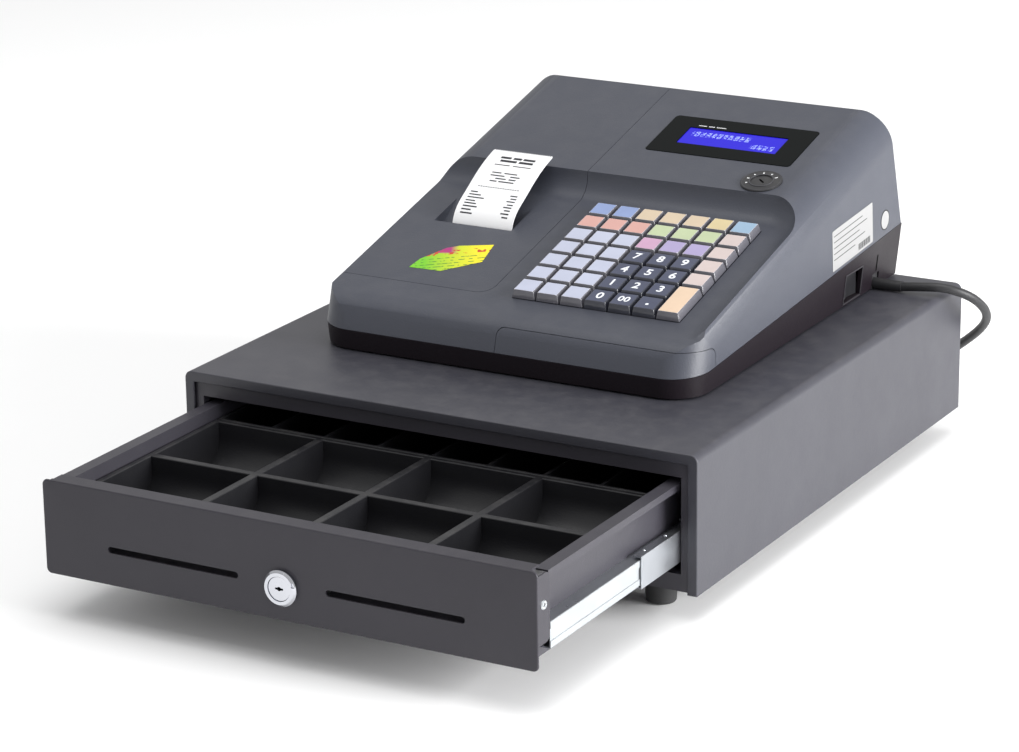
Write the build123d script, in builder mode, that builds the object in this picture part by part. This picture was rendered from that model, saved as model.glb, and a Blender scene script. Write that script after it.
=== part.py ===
from build123d import *
from math import cos, pi, radians, sin, tan
import os

# Small shop cash register standing on its cash drawer cabinet, drawer pulled part way out.
# Millimetres. +X is the right-hand side, +Y points to the back, +Z is up. The origin is on
# the ground, under the middle of the whole machine with its drawer where it is drawn.
# "y" and "z" in the lists below are measured from the cabinet's front face and bottom edge.

# --- Driving dimensions -------------------------------------------------------------------
CABINET_W = 410.0       # steel cabinet, side to side
CABINET_D = 456.0       # front to back
CABINET_H = 100.0
SHEET = 1.2             # steel sheet
BEND = 5.5              # outer radius of the long top bends
HEM = 7.5               # folded rim round the cabinet's mouth
FOOT_H = 19.0
OPEN = 193.4            # how far the drawer stands out
LOCK_PROUD = 4.0

PANEL_W = 380.0         # drawer front
PANEL_Z = (13.6, 81.0)
MOUTH_X = 191.5         # half the width of the drawer opening
MOUTH_Z = (12.9, 82.0)
TRAY_X = 180.3          # half the width of the drawer box
TRAY_Y = (-176.0, 215.0)
TRAY_Z = (16.0, 77.0)
RUNNER_Z = (24.0, 42.5)

BODY_X = 155.0          # half the width of the register body
DECK_ANGLE = 14.2       # slope of both decks
STEP_Y = 285.5          # where the upper deck begins
WALL = 2.5              # plastic wall
SIDE_R = 28.0           # rounding along the body's top edges
NOSE_R = 23.0
RISER_R = 18.0          # concave foot of the step between the decks
SEAM = 0.4              # gap at the seams of removable covers

KEY_PITCH_X = 19.3
KEY_PITCH_Y = 19.7
KEY_BASE = 18.5
KEY_TOP = 15.8
KEY_LEAN = 0.5          # how far the top leans back
KEY_RISE = 6.7          # key top above the deck
KEYS_X = 57.8           # centre of the key field
KEYS_Y = 198.3

CORD_D = 7.0

FRONT = OPEN + LOCK_PROUD - (CABINET_D + OPEN + LOCK_PROUD) / 2    # Y of the cabinet's front face
TOP = FOOT_H + CABINET_H                                           # Z of the cabinet's top
SLOPE = tan(radians(DECK_ANGLE))
PARTING_SLOPE = 0.0755

os.makedirs("parts", exist_ok=True)


# --- Places -------------------------------------------------------------------------------
def low_z(y):
    """Height of the lower deck above the cabinet's bottom edge."""
    return 142.0 + SLOPE * (y - 118.0)


def top_z(y):
    """Height of the upper deck."""
    return 201.3 + SLOPE * (y - STEP_Y)


def parting_z(y):
    """Height of the joint between the lower and the upper case."""
    return 115.6 + PARTING_SLOPE * (y - 92.5)


def yz(y, z):
    """A point of a side view."""
    return (FRONT + y, FOOT_H + z)


def across(y):
    """Plane of a front view at depth y; a negative extrusion goes to the back."""
    return Plane.XZ.offset(-(FRONT + y))


def plan(z):
    """Plane of a plan view at height z."""
    return Plane.XY.offset(FOOT_H + z)


def sloped(x, y, z, angle=DECK_ANGLE):
    """Plane that rises to the back, with its origin at x, y, z."""
    tilt = radians(angle)
    return Plane(origin=(x, FRONT + y, FOOT_H + z), x_dir=(1, 0, 0), z_dir=(0, -sin(tilt), cos(tilt)))


def box_face(x0, x1, v0, v1, mode=Mode.ADD):
    """Rectangle between two corners, in the current sketch."""
    with Locations(((x0 + x1) / 2, (v0 + v1) / 2)):
        Rectangle(x1 - x0, v1 - v0, mode=mode)


def block(x, y, z, mode=Mode.ADD):
    """Box between (low, high) limits, in the current part."""
    with Locations((sum(x) / 2, FRONT + sum(y) / 2, FOOT_H + sum(z) / 2)):
        Box(x[1] - x[0], y[1] - y[0], z[1] - z[0], mode=mode)


def both_sides(low, high):
    """The limits on the right-hand side, and their mirror image."""
    return [(low, high), (-high, -low)]


# --- Cabinet ------------------------------------------------------------------------------
def bent_outline(y, half, top, radius):
    """Upside-down U outline of the cabinet with rounded upper corners, as a face at depth y."""
    with BuildSketch(across(y)) as outline:
        with BuildLine():
            FilletPolyline((-half, FOOT_H), (-half, top), (half, top), (half, FOOT_H), radius=radius)
            Line((half, FOOT_H), (-half, FOOT_H))
        make_face()
    return outline.sketch


half_w = CABINET_W / 2
with BuildPart() as housing_cover:
    extrude(bent_outline(0, half_w, TOP, BEND), amount=-CABINET_D)
    hollow = bent_outline(SHEET, half_w - SHEET, TOP - SHEET, BEND - SHEET)
    extrude(hollow, amount=-CABINET_D, mode=Mode.SUBTRACT)
    extrude(bent_outline(0, half_w - HEM, TOP - HEM, 1.0), amount=-2 * SHEET, mode=Mode.SUBTRACT)
    hem_edges = housing_cover.faces().sort_by(Axis.Y)[0].outer_wire().edges()
    fillet([e for e in hem_edges if e.center().Z > FOOT_H + 1], 0.8)
housing_cover.part.label = "housing_cover"
export_step(housing_cover.part, "parts/housing_cover.step")

def front_corners(points):
    """The upper corners of a sheet that stands across the cabinet."""
    return points.group_by(Axis.Y)[-1]


inside = half_w - SHEET - 0.2
with BuildPart() as front_frame:
    with BuildSketch(across(3.0)):
        box_face(-inside, inside, FOOT_H + 1.4, TOP - 1.4)
        chamfer(front_corners(vertices()), BEND)
        box_face(-MOUTH_X, MOUTH_X, FOOT_H + MOUTH_Z[0], FOOT_H + MOUTH_Z[1], Mode.SUBTRACT)
    extrude(amount=-SHEET)
    with BuildSketch(across(3.0)):
        box_face(
            -MOUTH_X - SHEET, MOUTH_X + SHEET,
            FOOT_H + MOUTH_Z[0] - SHEET, FOOT_H + MOUTH_Z[1] + SHEET)
        box_face(-MOUTH_X, MOUTH_X, FOOT_H + MOUTH_Z[0], FOOT_H + MOUTH_Z[1], Mode.SUBTRACT)
    extrude(amount=-9.0)
front_frame.part.label = "front_frame"
export_step(front_frame.part, "parts/front_frame.step")

with BuildPart() as chassis_tray:
    block((-inside, inside), (4.5, 454.8), (0, SHEET))
    for limits in both_sides(inside - SHEET, inside):
        block(limits, (16.0, 454.8), (0, 92.0))
    with BuildSketch(across(453.6)):
        box_face(-inside, inside, FOOT_H, TOP - 1.6)
        chamfer(front_corners(vertices()), BEND)
    extrude(amount=-SHEET)
    for limits in both_sides(inside - 14, inside - SHEET):
        block(limits, (452.4, 453.6), (SHEET, 92.0))
chassis_tray.part.label = "chassis_tray"
export_step(chassis_tray.part, "parts/chassis_tray.step")

foot_places = [(x, FRONT + y) for x in (-164, 164) for y in (28, 428)]
with BuildPart() as housing_feet:
    with Locations(*foot_places):
        Cone(10.5, 12.0, FOOT_H, align=(Align.CENTER, Align.CENTER, Align.MIN))
    fillet(housing_feet.edges().group_by(Axis.Z)[0], 1.6)
    with Locations(*foot_places):
        Cylinder(4.5, 6.0, align=(Align.CENTER, Align.CENTER, Align.MIN), mode=Mode.SUBTRACT)
housing_feet.part.label = "housing_feet"
export_step(housing_feet.part, "parts/housing_feet.step")

# --- Ball slides: rails on the cabinet, runners on the drawer, ball cages between them -------
RAIL_Z = (19.6, 46.9)
RAIL_WEB = (191.8, 193.0)
with BuildPart() as slide_rails:
    for side in both_sides(*RAIL_WEB):
        block(side, (17.0, 410.0), RAIL_Z)
    for side in both_sides(183.0, RAIL_WEB[0]):
        block(side, (17.0, 410.0), (RAIL_Z[0], RAIL_Z[0] + SHEET))
        block(side, (17.0, 410.0), (RAIL_Z[1] - SHEET, RAIL_Z[1]))
    for side in both_sides(RAIL_WEB[1], inside - SHEET):
        for y in (60, 340):
            block(side, (y, y + 30), (26.0, 40.0))
slide_rails.part.label = "slide_rails"
export_step(slide_rails.part, "parts/slide_rails.step")

RUNNER_X = 190.2
with BuildPart() as drawer_runners:
    for side in both_sides(RUNNER_X - SHEET, RUNNER_X):
        block(side, (-177.0, 215.0), RUNNER_Z)
    for side in both_sides(TRAY_X, RUNNER_X - SHEET):
        block(side, (-177.0, 215.0), (RUNNER_Z[0], RUNNER_Z[0] + SHEET))
        block(side, (-177.0, 215.0), (RUNNER_Z[1] - SHEET, RUNNER_Z[1]))
    long_edges = drawer_runners.edges().filter_by(Axis.Y)
    fillet([e for e in long_edges if abs(abs(e.center().X) - RUNNER_X) < 0.01], 0.8)
    for side in both_sides(RUNNER_X - 0.4, RUNNER_X + 1):
        block(side, (-177.0, 215.0), (29.0, 37.5), Mode.SUBTRACT)
drawer_runners.part.label = "drawer_runners"
export_step(drawer_runners.part, "parts/drawer_runners.step")

CAGE_Y = (-54.0, 156.0)
BALL_R = 1.45
with BuildPart() as ball_cages:
    for z in (22.4, 44.1):
        for side in both_sides(184.5, 191.05):
            block(side, CAGE_Y, (z - 0.5, z + 0.5))
    for side in both_sides(190.5, 191.05):
        block(side, CAGE_Y, (21.9, 44.6))
    for side in (-1, 1):
        for z in (22.4, 44.1):
            balls = [(side * 186.5, FRONT + CAGE_Y[0] + 12 + 31 * i, FOOT_H + z) for i in range(7)]
            with Locations(*balls):
                Sphere(BALL_R)
ball_cages.part.label = "ball_cages"
export_step(ball_cages.part, "parts/ball_cages.step")

# --- Drawer -------------------------------------------------------------------------------
FACE = -OPEN            # y of the drawer front's face
LOCK_Z = 37.0
LOCK_R = 10.5
with BuildPart() as drawer_front:
    with BuildSketch(across(FACE)):
        with Locations((0, FOOT_H + sum(PANEL_Z) / 2)):
            RectangleRounded(PANEL_W, PANEL_Z[1] - PANEL_Z[0], 4.0)
    extrude(amount=-1.5)
    rim = drawer_front.faces().sort_by(Axis.Y)[0].outer_wire().edges()
    fillet(rim, 1.0)
    block((-183.0, 184.0), (FACE + 1.2, FACE + 13.5), (PANEL_Z[1] - SHEET, PANEL_Z[1]))
    block((-183.0, 183.0), (FACE + 1.2, FACE + 9.0), (PANEL_Z[0], PANEL_Z[0] + SHEET))
    for limits in both_sides(PANEL_W / 2 - SHEET, PANEL_W / 2):
        with BuildSketch(Plane.YZ.offset(limits[0])):
            with Locations((FRONT + FACE + 8.6, FOOT_H + 54.0)):
                RectangleRounded(14.8, 47.0, 5.0)
            box_face(FRONT + FACE + 1.2, FRONT + FACE + 8.0, FOOT_H + 30.5, FOOT_H + 77.5)
        extrude(amount=SHEET)
    with BuildSketch(across(FACE - 1)):
        with Locations((-86.0, FOOT_H + 39.1), (85.5, FOOT_H + 39.1)):
            SlotOverall(104.0, 4.7)
        with Locations((0, FOOT_H + LOCK_Z)):
            Circle(LOCK_R + 0.1)
    extrude(amount=-5.0, mode=Mode.SUBTRACT)
drawer_front.part.label = "drawer_front"
export_step(drawer_front.part, "parts/drawer_front.step")

with BuildPart() as drawer_body:
    block((-TRAY_X, TRAY_X), TRAY_Y, (TRAY_Z[0], TRAY_Z[0] + SHEET))
    for limits in both_sides(TRAY_X - SHEET, TRAY_X):
        block(limits, (FACE + 1.5, TRAY_Y[1]), TRAY_Z)
    for limits in both_sides(TRAY_X - SHEET, 189.0):
        block(limits, (FACE + 16.2, TRAY_Y[1]), (TRAY_Z[1] - SHEET, TRAY_Z[1]))
    for limits in both_sides(189.0 - SHEET, 189.0):
        block(limits, (FACE + 16.2, TRAY_Y[1]), (TRAY_Z[1] - 5.0, TRAY_Z[1]))
    block((-TRAY_X, TRAY_X), (TRAY_Y[0], TRAY_Y[0] + SHEET), (TRAY_Z[0], 70.0))
    block((-TRAY_X, TRAY_X), (TRAY_Y[1] - SHEET, TRAY_Y[1]), (TRAY_Z[0], 70.0))
drawer_body.part.label = "drawer_body"
export_step(drawer_body.part, "parts/drawer_body.step")

with BuildPart() as drawer_striker:
    back = TRAY_Y[1]
    block((-12, 12), (back, back + SHEET), (52.0, 68.0))
    block((-12, 12), (back, back + 7.0), (57.5, 57.5 + SHEET))
    block((-12, 12), (back + 5.8, back + 7.0), (57.5, 64.0))
drawer_striker.part.label = "drawer_striker"
export_step(drawer_striker.part, "parts/drawer_striker.step")

# The till insert is two mouldings that lie side by side on the drawer's floor.
INSERT_X = 177.5
INSERT_Z = (TRAY_Z[0] + SHEET, 68.0)
CUP = (82.0, 78.0, 34.0)
CUPS_Y = (-172.5, -2.5)
cup_places = [(x, y) for y in (-129.5, -45.5) for x in (-132.0, -44.0, 44.0, 132.0)]


def scoop(x, y, grow):
    """Side outline of a coin cup with a rounded front and back, grown by a wall thickness."""
    reach = CUP[1] / 2 + grow
    floor = INSERT_Z[1] - CUP[2] - grow
    with BuildSketch(Plane.YZ.offset(x - CUP[0] / 2 - grow)) as outline:
        with BuildLine():
            FilletPolyline(yz(y - reach, INSERT_Z[1]), yz(y - reach, floor), yz(y + reach, floor),
                           yz(y + reach, INSERT_Z[1]), radius=24.0 + grow)
            Line(yz(y + reach, INSERT_Z[1]), yz(y - reach, INSERT_Z[1]))
        make_face()
    return outline.sketch


with BuildPart() as coin_tray:
    block((-INSERT_X, INSERT_X), CUPS_Y, INSERT_Z)
    block((-INSERT_X + 2, INSERT_X - 2), (CUPS_Y[0] + 2, CUPS_Y[1] - 2),
          (INSERT_Z[0] - 1, INSERT_Z[1] - 2.5), Mode.SUBTRACT)
    for x, y in cup_places:
        extrude(scoop(x, y, 2.0), amount=CUP[0] + 4.0)
    for x, y in cup_places:
        extrude(scoop(x, y, 0.0), amount=CUP[0], mode=Mode.SUBTRACT)
    brim = coin_tray.faces().filter_by(Axis.Z).sort_by(Axis.Z)[-1]
    fillet(brim.edges(), 0.9)
coin_tray.part.label = "coin_tray"
export_step(coin_tray.part, "parts/coin_tray.step")

NOTES_Y = (-1.5, 184.0)
NOTE_PITCH = 44.0
NOTE_FLOOR = 42.0
with BuildPart() as note_tray:
    block((-INSERT_X, INSERT_X), NOTES_Y, INSERT_Z)
    block((-INSERT_X + 2, INSERT_X - 2), (NOTES_Y[0] + 2, NOTES_Y[1] - 2),
          (INSERT_Z[0] - 1, NOTE_FLOOR - 2), Mode.SUBTRACT)
    for i in range(8):
        middle = (i - 3.5) * NOTE_PITCH
        block((middle - 20.7, middle + 20.7), (NOTES_Y[0] + 3, NOTES_Y[1] - 3),
              (NOTE_FLOOR, INSERT_Z[1] + 1), Mode.SUBTRACT)
    crest = note_tray.faces().filter_by(Axis.Z).sort_by(Axis.Z)[-1]
    fillet(crest.edges(), 0.9)
note_tray.part.label = "note_tray"
export_step(note_tray.part, "parts/note_tray.step")

# Drawer lock: chromed barrel with its nut, a plug that turns in it, and the locking cam.
PLUG_R = 8.6
lock_axis = (0, FOOT_H + LOCK_Z)
with BuildPart() as lock_barrel:
    with BuildSketch(across(FACE - LOCK_PROUD)):
        with Locations(lock_axis):
            Circle(12.6)
    extrude(amount=-LOCK_PROUD)
    chamfer(lock_barrel.edges().group_by(Axis.Y)[0], 1.6)
    with BuildSketch(across(FACE - 0.5)):
        with Locations(lock_axis):
            Circle(LOCK_R)
    extrude(amount=-12.9)
    with BuildSketch(across(FACE + 1.5)):
        with Locations(lock_axis):
            RegularPolygon(14.0, 6)
    extrude(amount=-3.0)
    with BuildSketch(across(FACE - 6)):
        with Locations(lock_axis):
            Circle(PLUG_R + 0.05)
    extrude(amount=-30.0, mode=Mode.SUBTRACT)
    with Locations((11.3, FRONT + FACE - LOCK_PROUD, FOOT_H + LOCK_Z + 4.0)):
        Box(3.4, 2.0, 3.2, mode=Mode.SUBTRACT)
lock_barrel.part.label = "lock_barrel"
export_step(lock_barrel.part, "parts/lock_barrel.step")

with BuildPart() as lock_plug:
    with BuildSketch(across(FACE - 3.4)):
        with Locations(lock_axis):
            Circle(PLUG_R)
    extrude(amount=-16.8)
    with BuildSketch(across(FACE)):
        with Locations(lock_axis):
            Circle(3.0)
    extrude(amount=-16.0)
    fillet(lock_plug.edges().group_by(Axis.Y)[0], 0.6)
    with BuildSketch(across(FACE - 4)):
        with Locations(lock_axis):
            SlotOverall(6.4, 1.5)
            Circle(1.5)
    extrude(amount=-9.0, mode=Mode.SUBTRACT)
lock_plug.part.label = "lock_plug"
export_step(lock_plug.part, "parts/lock_plug.step")

with BuildPart() as lock_cam:
    with BuildSketch(across(FACE + 13.4)):
        with Locations((11.5, FOOT_H + LOCK_Z)):
            SlotOverall(35.0, 11.0)
        with Locations(lock_axis):
            Circle(3.0, mode=Mode.SUBTRACT)
    extrude(amount=-2.0)
lock_cam.part.label = "lock_cam"
export_step(lock_cam.part, "parts/lock_cam.step")

# --- Drawer release at the back of the cabinet ----------------------------------------------
LATCH_Y = 440.0
LATCH_Z = 66.0
with BuildPart() as latch_solenoid:
    block((-22, 22), (424, 452), (SHEET, 2 * SHEET))
    for limits in both_sides(16.4, 17.6):
        block(limits, (432, 448), (SHEET, 72.0))
    block((-12, 12), (426, 448), (2 * SHEET, 34.0))
    with Locations((0, FRONT + 437, FOOT_H + 40)):
        Cylinder(4.0, 14.0)
    with Locations((0, FRONT + LATCH_Y, FOOT_H + LATCH_Z)):
        Cylinder(2.0, 35.2, rotation=(0, 90, 0))
latch_solenoid.part.label = "latch_solenoid"
export_step(latch_solenoid.part, "parts/latch_solenoid.step")

with BuildPart() as latch_lever:
    with BuildSketch(Plane.YZ.offset(-8)):
        with BuildLine():
            Polyline(yz(444, 72), yz(409.5, 72), yz(409.5, 66.4), yz(413.0, 66.4), yz(413.0, 69.6),
                     yz(434, 69.6), yz(436, 62.5), yz(444, 62.5), close=True)
        make_face()
    extrude(amount=16)
    with BuildSketch(Plane.YZ.offset(-9)):
        with Locations(yz(LATCH_Y, LATCH_Z)):
            Circle(2.06)
    extrude(amount=18, mode=Mode.SUBTRACT)
latch_lever.part.label = "latch_lever"
export_step(latch_lever.part, "parts/latch_lever.step")

# --- Register body: outer shape, hollowed, split at the parting line and at the seams ---------
RIM = top_z(0) - low_z(0)       # height between the planes of the two decks
NOSE = (99.5, 137.3)            # where the front face and the lower deck would meet
NOSE_LEAN = radians(73.0)
FADE_Y = 113.6                  # where the side rim begins to rise
FADE = tan(radians(35.0))
CREST = (425.0, 236.6)          # rear edge of the upper deck
TAIL = (452.0, 143.0)
TAIL_Y = 453.6
POCKET_X = 157.6                # right wall of the pocket that forms the lower deck
COVER_X = -29.2                 # printer cover's right-hand seam
COVER_Y = 132.6
HINGE = (432.0, 212.2)          # printer cover's hinge


def side_outline(inset):
    """Side view of the body, from below the parting line up."""
    foot = (NOSE[0] - (NOSE[1] - CABINET_H) / tan(NOSE_LEAN), CABINET_H)
    fade_end = FADE_Y + RIM / (FADE - SLOPE)
    decks = [(FADE_Y, low_z(FADE_Y)), (fade_end, top_z(fade_end))]
    points = [foot, NOSE, *decks, CREST, TAIL, (TAIL_Y, CABINET_H)]
    with BuildSketch(Plane.YZ) as outline:
        with BuildLine():
            Polyline(*[yz(*p) for p in points], close=True)
        make_face()
        nose_tip = vertices().sort_by_distance(yz(*NOSE))[0]
        fillet(nose_tip, NOSE_R)
        crest = vertices().sort_by_distance(yz(*CREST))[0]
        fillet(crest, 2.6)
        if inset:
            offset(amount=-inset, kind=Kind.INTERSECTION, mode=Mode.REPLACE)
    return outline.sketch


def arch_outline(inset):
    """View along the decks: upright sides with rounded upper edges."""
    along = Plane(origin=(0, FRONT + STEP_Y, FOOT_H + top_z(STEP_Y)), x_dir=(1, 0, 0),
                  z_dir=(0, cos(radians(DECK_ANGLE)), sin(radians(DECK_ANGLE))))
    with BuildSketch(along) as outline:
        box_face(-BODY_X + inset, BODY_X - inset, inset, 300)
        fillet(vertices().group_by(Axis.Y)[0], SIDE_R - inset)
    return outline.sketch


def plan_outline(inset):
    """Plan of the body at the cabinet's top, with rounded front corners."""
    front = NOSE[0] - (NOSE[1] - CABINET_H) / tan(NOSE_LEAN)
    with BuildSketch(plan(CABINET_H - 1)) as outline:
        box_face(-BODY_X + inset, BODY_X - inset, FRONT + front + inset, FRONT + 560)
        fillet(vertices().group_by(Axis.Y)[0], SIDE_R - inset)
    return outline.sketch


def pocket(inset):
    """What is cut away above the lower deck, with its concave foot."""
    left = -220.0
    near = -240.0
    with BuildPart() as cut:
        with BuildSketch(sloped(0, STEP_Y, low_z(STEP_Y) - inset / cos(radians(DECK_ANGLE)))):
            box_face(left, POCKET_X + inset, near, inset)
            corner = vertices().sort_by_distance((POCKET_X + inset, inset))[0]
            fillet(corner, 33.0)
        extrude(amount=120, dir=(0, 0, 1))
        floor = cut.faces().sort_by(Axis.Z)[0]
        riser_y = FRONT + STEP_Y + near + 5
        walls = [e for e in floor.edges() if e.center().X > left + 1 and e.center().Y > riser_y]
        fillet(walls, RISER_R + inset)
    return cut.part


def body_shape(inset):
    """The register's body as a solid, grown inward by inset."""
    carve = pocket(inset)
    with BuildPart() as shape:
        extrude(side_outline(inset), amount=BODY_X - inset, both=True)
        extrude(arch_outline(inset), amount=500, both=True, mode=Mode.INTERSECT)
        lean = (0, cos(NOSE_LEAN), sin(NOSE_LEAN))
        extrude(plan_outline(inset), amount=200, dir=lean, mode=Mode.INTERSECT)
        add(carve, mode=Mode.SUBTRACT)
    return shape.part


def under_parting(gap):
    """Side view of everything under the parting line."""
    with BuildSketch(Plane.YZ) as region:
        with BuildLine():
            far_up, near_up = yz(520, parting_z(520) + gap), yz(40, parting_z(40) + gap)
            Polyline(yz(40, 40), yz(520, 40), far_up, near_up, close=True)
        make_face()
    return region.sketch


def cover_region(gap):
    """Space of the printer cover: its plan, and how far down it reaches."""
    skirt = 20.0
    rear = 418.0 - gap
    with BuildPart() as region:
        with BuildSketch(plan(CABINET_H)):
            box_face(-200, COVER_X - gap, FRONT + COVER_Y + gap, FRONT + 520)
            corner = vertices().sort_by_distance((COVER_X, FRONT + COVER_Y))[0]
            fillet(corner, 12.0)
        extrude(amount=200)
        with BuildSketch(Plane.YZ):
            with BuildLine():
                skirt_ends = yz(100, parting_z(100) + skirt + gap), yz(rear, parting_z(rear) + skirt + gap)
                step = yz(rear, HINGE[1] - 0.2 + gap), yz(520, HINGE[1] - 0.2 + gap)
                Polyline(yz(100, 320), *skirt_ends, *step, yz(520, 320), close=True)
            make_face()
        extrude(amount=250, both=True, mode=Mode.INTERSECT)
    return region.part


def access_region(gap):
    """Space of the snap-on cover at the front right corner."""
    with BuildPart() as region:
        block((-3.0 + gap, 200), (60, 129.0 - gap), (100, 133.8 - gap))
        fillet(region.edges().filter_by(Axis.Y).group_by(Axis.Z)[-1].sort_by(Axis.X)[0], 5.0)
        fillet(region.edges().filter_by(Axis.X).group_by(Axis.Z)[-1].sort_by(Axis.Y)[-1], 8.0)
    return region.part


outer = body_shape(0)
inner = body_shape(WALL)
with BuildPart() as shell:
    add(outer)
    add(inner, mode=Mode.SUBTRACT)
    extrude(under_parting(0.3), amount=250, both=True, mode=Mode.SUBTRACT)

# What sits in the decks.
KEY_DECK = sloped(KEYS_X, KEYS_Y, low_z(KEYS_Y))
WINDOW_DECK = sloped(57.25, 355.0, top_z(355.0))
WINDOW = (120.5, 57.8)
LCD = (82.5, 25.8)
SWITCH_DECK = sloped(107.3, 301.4, top_z(301.4))
SWITCH_BORE = 8.0
KEY_FIELD = (6 * KEY_PITCH_X + KEY_BASE + 0.9, 6 * KEY_PITCH_Y + KEY_BASE + 0.9)
SLOT_X = (-125.0, -58.6)
SLOT_Y = (219.0, 254.0)
SLOT_GAP = 5.6
BACK_WINDOW = (20.0, 110.0, 187.0, 219.0)

whole_cover = cover_region(0)
whole_access = access_region(0)
with BuildPart() as upper_case:
    add(shell.part)
    add(whole_cover, mode=Mode.SUBTRACT)
    add(whole_access, mode=Mode.SUBTRACT)
    with BuildSketch(KEY_DECK.offset(3)):
        RectangleRounded(*KEY_FIELD, 1.5)
    extrude(amount=-9, mode=Mode.SUBTRACT)
    with BuildSketch(WINDOW_DECK.offset(3)):
        RectangleRounded(WINDOW[0] + 0.5, WINDOW[1] + 0.5, 3.6)
    extrude(amount=-9, mode=Mode.SUBTRACT)
    with BuildSketch(SWITCH_DECK.offset(3)):
        Circle(13.0)
    extrude(amount=-9, mode=Mode.SUBTRACT)
    with BuildSketch(across(480)):
        box_face(BACK_WINDOW[0], BACK_WINDOW[1], FOOT_H + BACK_WINDOW[2], FOOT_H + BACK_WINDOW[3])
    extrude(amount=70, mode=Mode.SUBTRACT)
upper_case.part.label = "upper_case"
export_step(upper_case.part, "parts/upper_case.step")

access_space = access_region(SEAM)
with BuildPart() as front_access_cover:
    add(shell.part)
    add(access_space, mode=Mode.INTERSECT)
front_access_cover.part.label = "front_access_cover"
export_step(front_access_cover.part, "parts/front_access_cover.step")


def slot_wedge(grow):
    """Side view of the recess that the receipt comes out of, grown by a wall thickness."""
    front, end = SLOT_Y[0] - grow, SLOT_Y[1] + 1.5 * grow
    mouth = SLOT_Y[0] + SLOT_GAP
    with BuildSketch(Plane.YZ.offset(SLOT_X[0] - grow)) as region:
        with BuildLine():
            Polyline(yz(front, low_z(front) + 3 - 4 * grow / WALL), yz(front, 155.0 + grow / 2),
                     yz(mouth, 155.0 + grow / 2), yz(mouth, 158.5 - grow), yz(end, low_z(end) - grow),
                     yz(end, low_z(end) + 3 - 4 * grow / WALL), close=True)
        make_face()
    return region.sketch


cover_space = cover_region(SEAM)
with BuildPart() as printer_cover:
    add(shell.part)
    add(cover_space, mode=Mode.INTERSECT)
    extrude(slot_wedge(WALL), amount=SLOT_X[1] - SLOT_X[0] + 2 * WALL)
    extrude(slot_wedge(0), amount=SLOT_X[1] - SLOT_X[0], mode=Mode.SUBTRACT)
    block(SLOT_X, (SLOT_Y[0], SLOT_Y[0] + SLOT_GAP), (150.0, 160.0), Mode.SUBTRACT)
printer_cover.part.label = "printer_cover"
export_step(printer_cover.part, "parts/printer_cover.step")

with BuildPart() as tear_bar:
    block((SLOT_X[0] + 1, SLOT_X[1] - 1), (SLOT_Y[0], SLOT_Y[0] + 0.6), (157.5, 165.8))
tear_bar.part.label = "tear_bar"
export_step(tear_bar.part, "parts/tear_bar.step")

RECEIPT_X = (-110.0, -59.2)
with BuildPart() as receipt_paper:
    with BuildSketch(Plane.YZ.offset(RECEIPT_X[0])):
        with BuildLine():
            Spline(
                yz(221.6, 157.6), yz(221.4, 168), yz(226, 176),
                yz(240, 186), yz(260, 198), yz(285, 208.5))
        trace(line_width=0.5)
    extrude(amount=RECEIPT_X[1] - RECEIPT_X[0])
receipt_paper.part.label = "receipt_paper"
export_step(receipt_paper.part, "parts/receipt_paper.step")

# --- Lower case -------------------------------------------------------------------------------
DRAFT = -6.3
BASE_Z = 101.5
ROCKER_Y = (353.0, 383.0)
ROCKER_Z = (104.0, 125.0)
CORD_Y = 412.5
CORD_Z = 104.6


def case_plan(inset, height):
    """Plan of the lower case at its base."""
    with BuildSketch(plan(height)) as outline:
        with BuildLine():
            Polyline(
                (-153.3, FRONT + 94.3), (153.3, FRONT + 94.3),
                (150.2, FRONT + 480), (-150.2, FRONT + 480), close=True)
        make_face()
        fillet(vertices().group_by(Axis.Y)[0], 27.0)
        if inset:
            offset(amount=-inset, mode=Mode.REPLACE)
    return outline.sketch


with BuildPart() as lower_case:
    extrude(case_plan(0, BASE_Z), amount=52, taper=DRAFT)
    extrude(case_plan(WALL, BASE_Z + WALL), amount=60, taper=DRAFT, mode=Mode.SUBTRACT)
    block((-250, 250), (TAIL_Y, 900), (0, 300), Mode.SUBTRACT)
    block((-150.5, 150.5), (TAIL_Y - WALL, TAIL_Y - 0.2), (BASE_Z, 140.0))
    extrude(under_parting(-0.1), amount=250, both=True, mode=Mode.INTERSECT)
    with Locations(*[(x, FRONT + y, FOOT_H + CABINET_H) for x in (-125, 125) for y in (125, 425)]):
        Cylinder(9, BASE_Z - CABINET_H + 1, align=(Align.CENTER, Align.CENTER, Align.MIN))
    block((130, 170), ROCKER_Y, ROCKER_Z, Mode.SUBTRACT)
    with Locations((150, FRONT + CORD_Y, FOOT_H + CORD_Z + 2)):
        Box(20, 12.4, 12.4, mode=Mode.SUBTRACT)
lower_case.part.label = "lower_case"
export_step(lower_case.part, "parts/lower_case.step")

# --- Keys ---------------------------------------------------------------------------------------
with BuildPart() as cap:
    with BuildSketch(Plane.XY.offset(-1.8)):
        RectangleRounded(KEY_BASE, KEY_BASE, 1.3)
    extrude(amount=2.4)
    with BuildSketch(Plane.XY.offset(0.6)):
        RectangleRounded(KEY_BASE, KEY_BASE, 1.3)
    with BuildSketch(Plane.XY.offset(KEY_RISE)):
        with Locations((0, KEY_LEAN)):
            RectangleRounded(KEY_TOP, KEY_TOP, 1.3)
    loft()
    with Locations((0, 0, -4.0)):
        Box(5, 5, 4.6)

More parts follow.
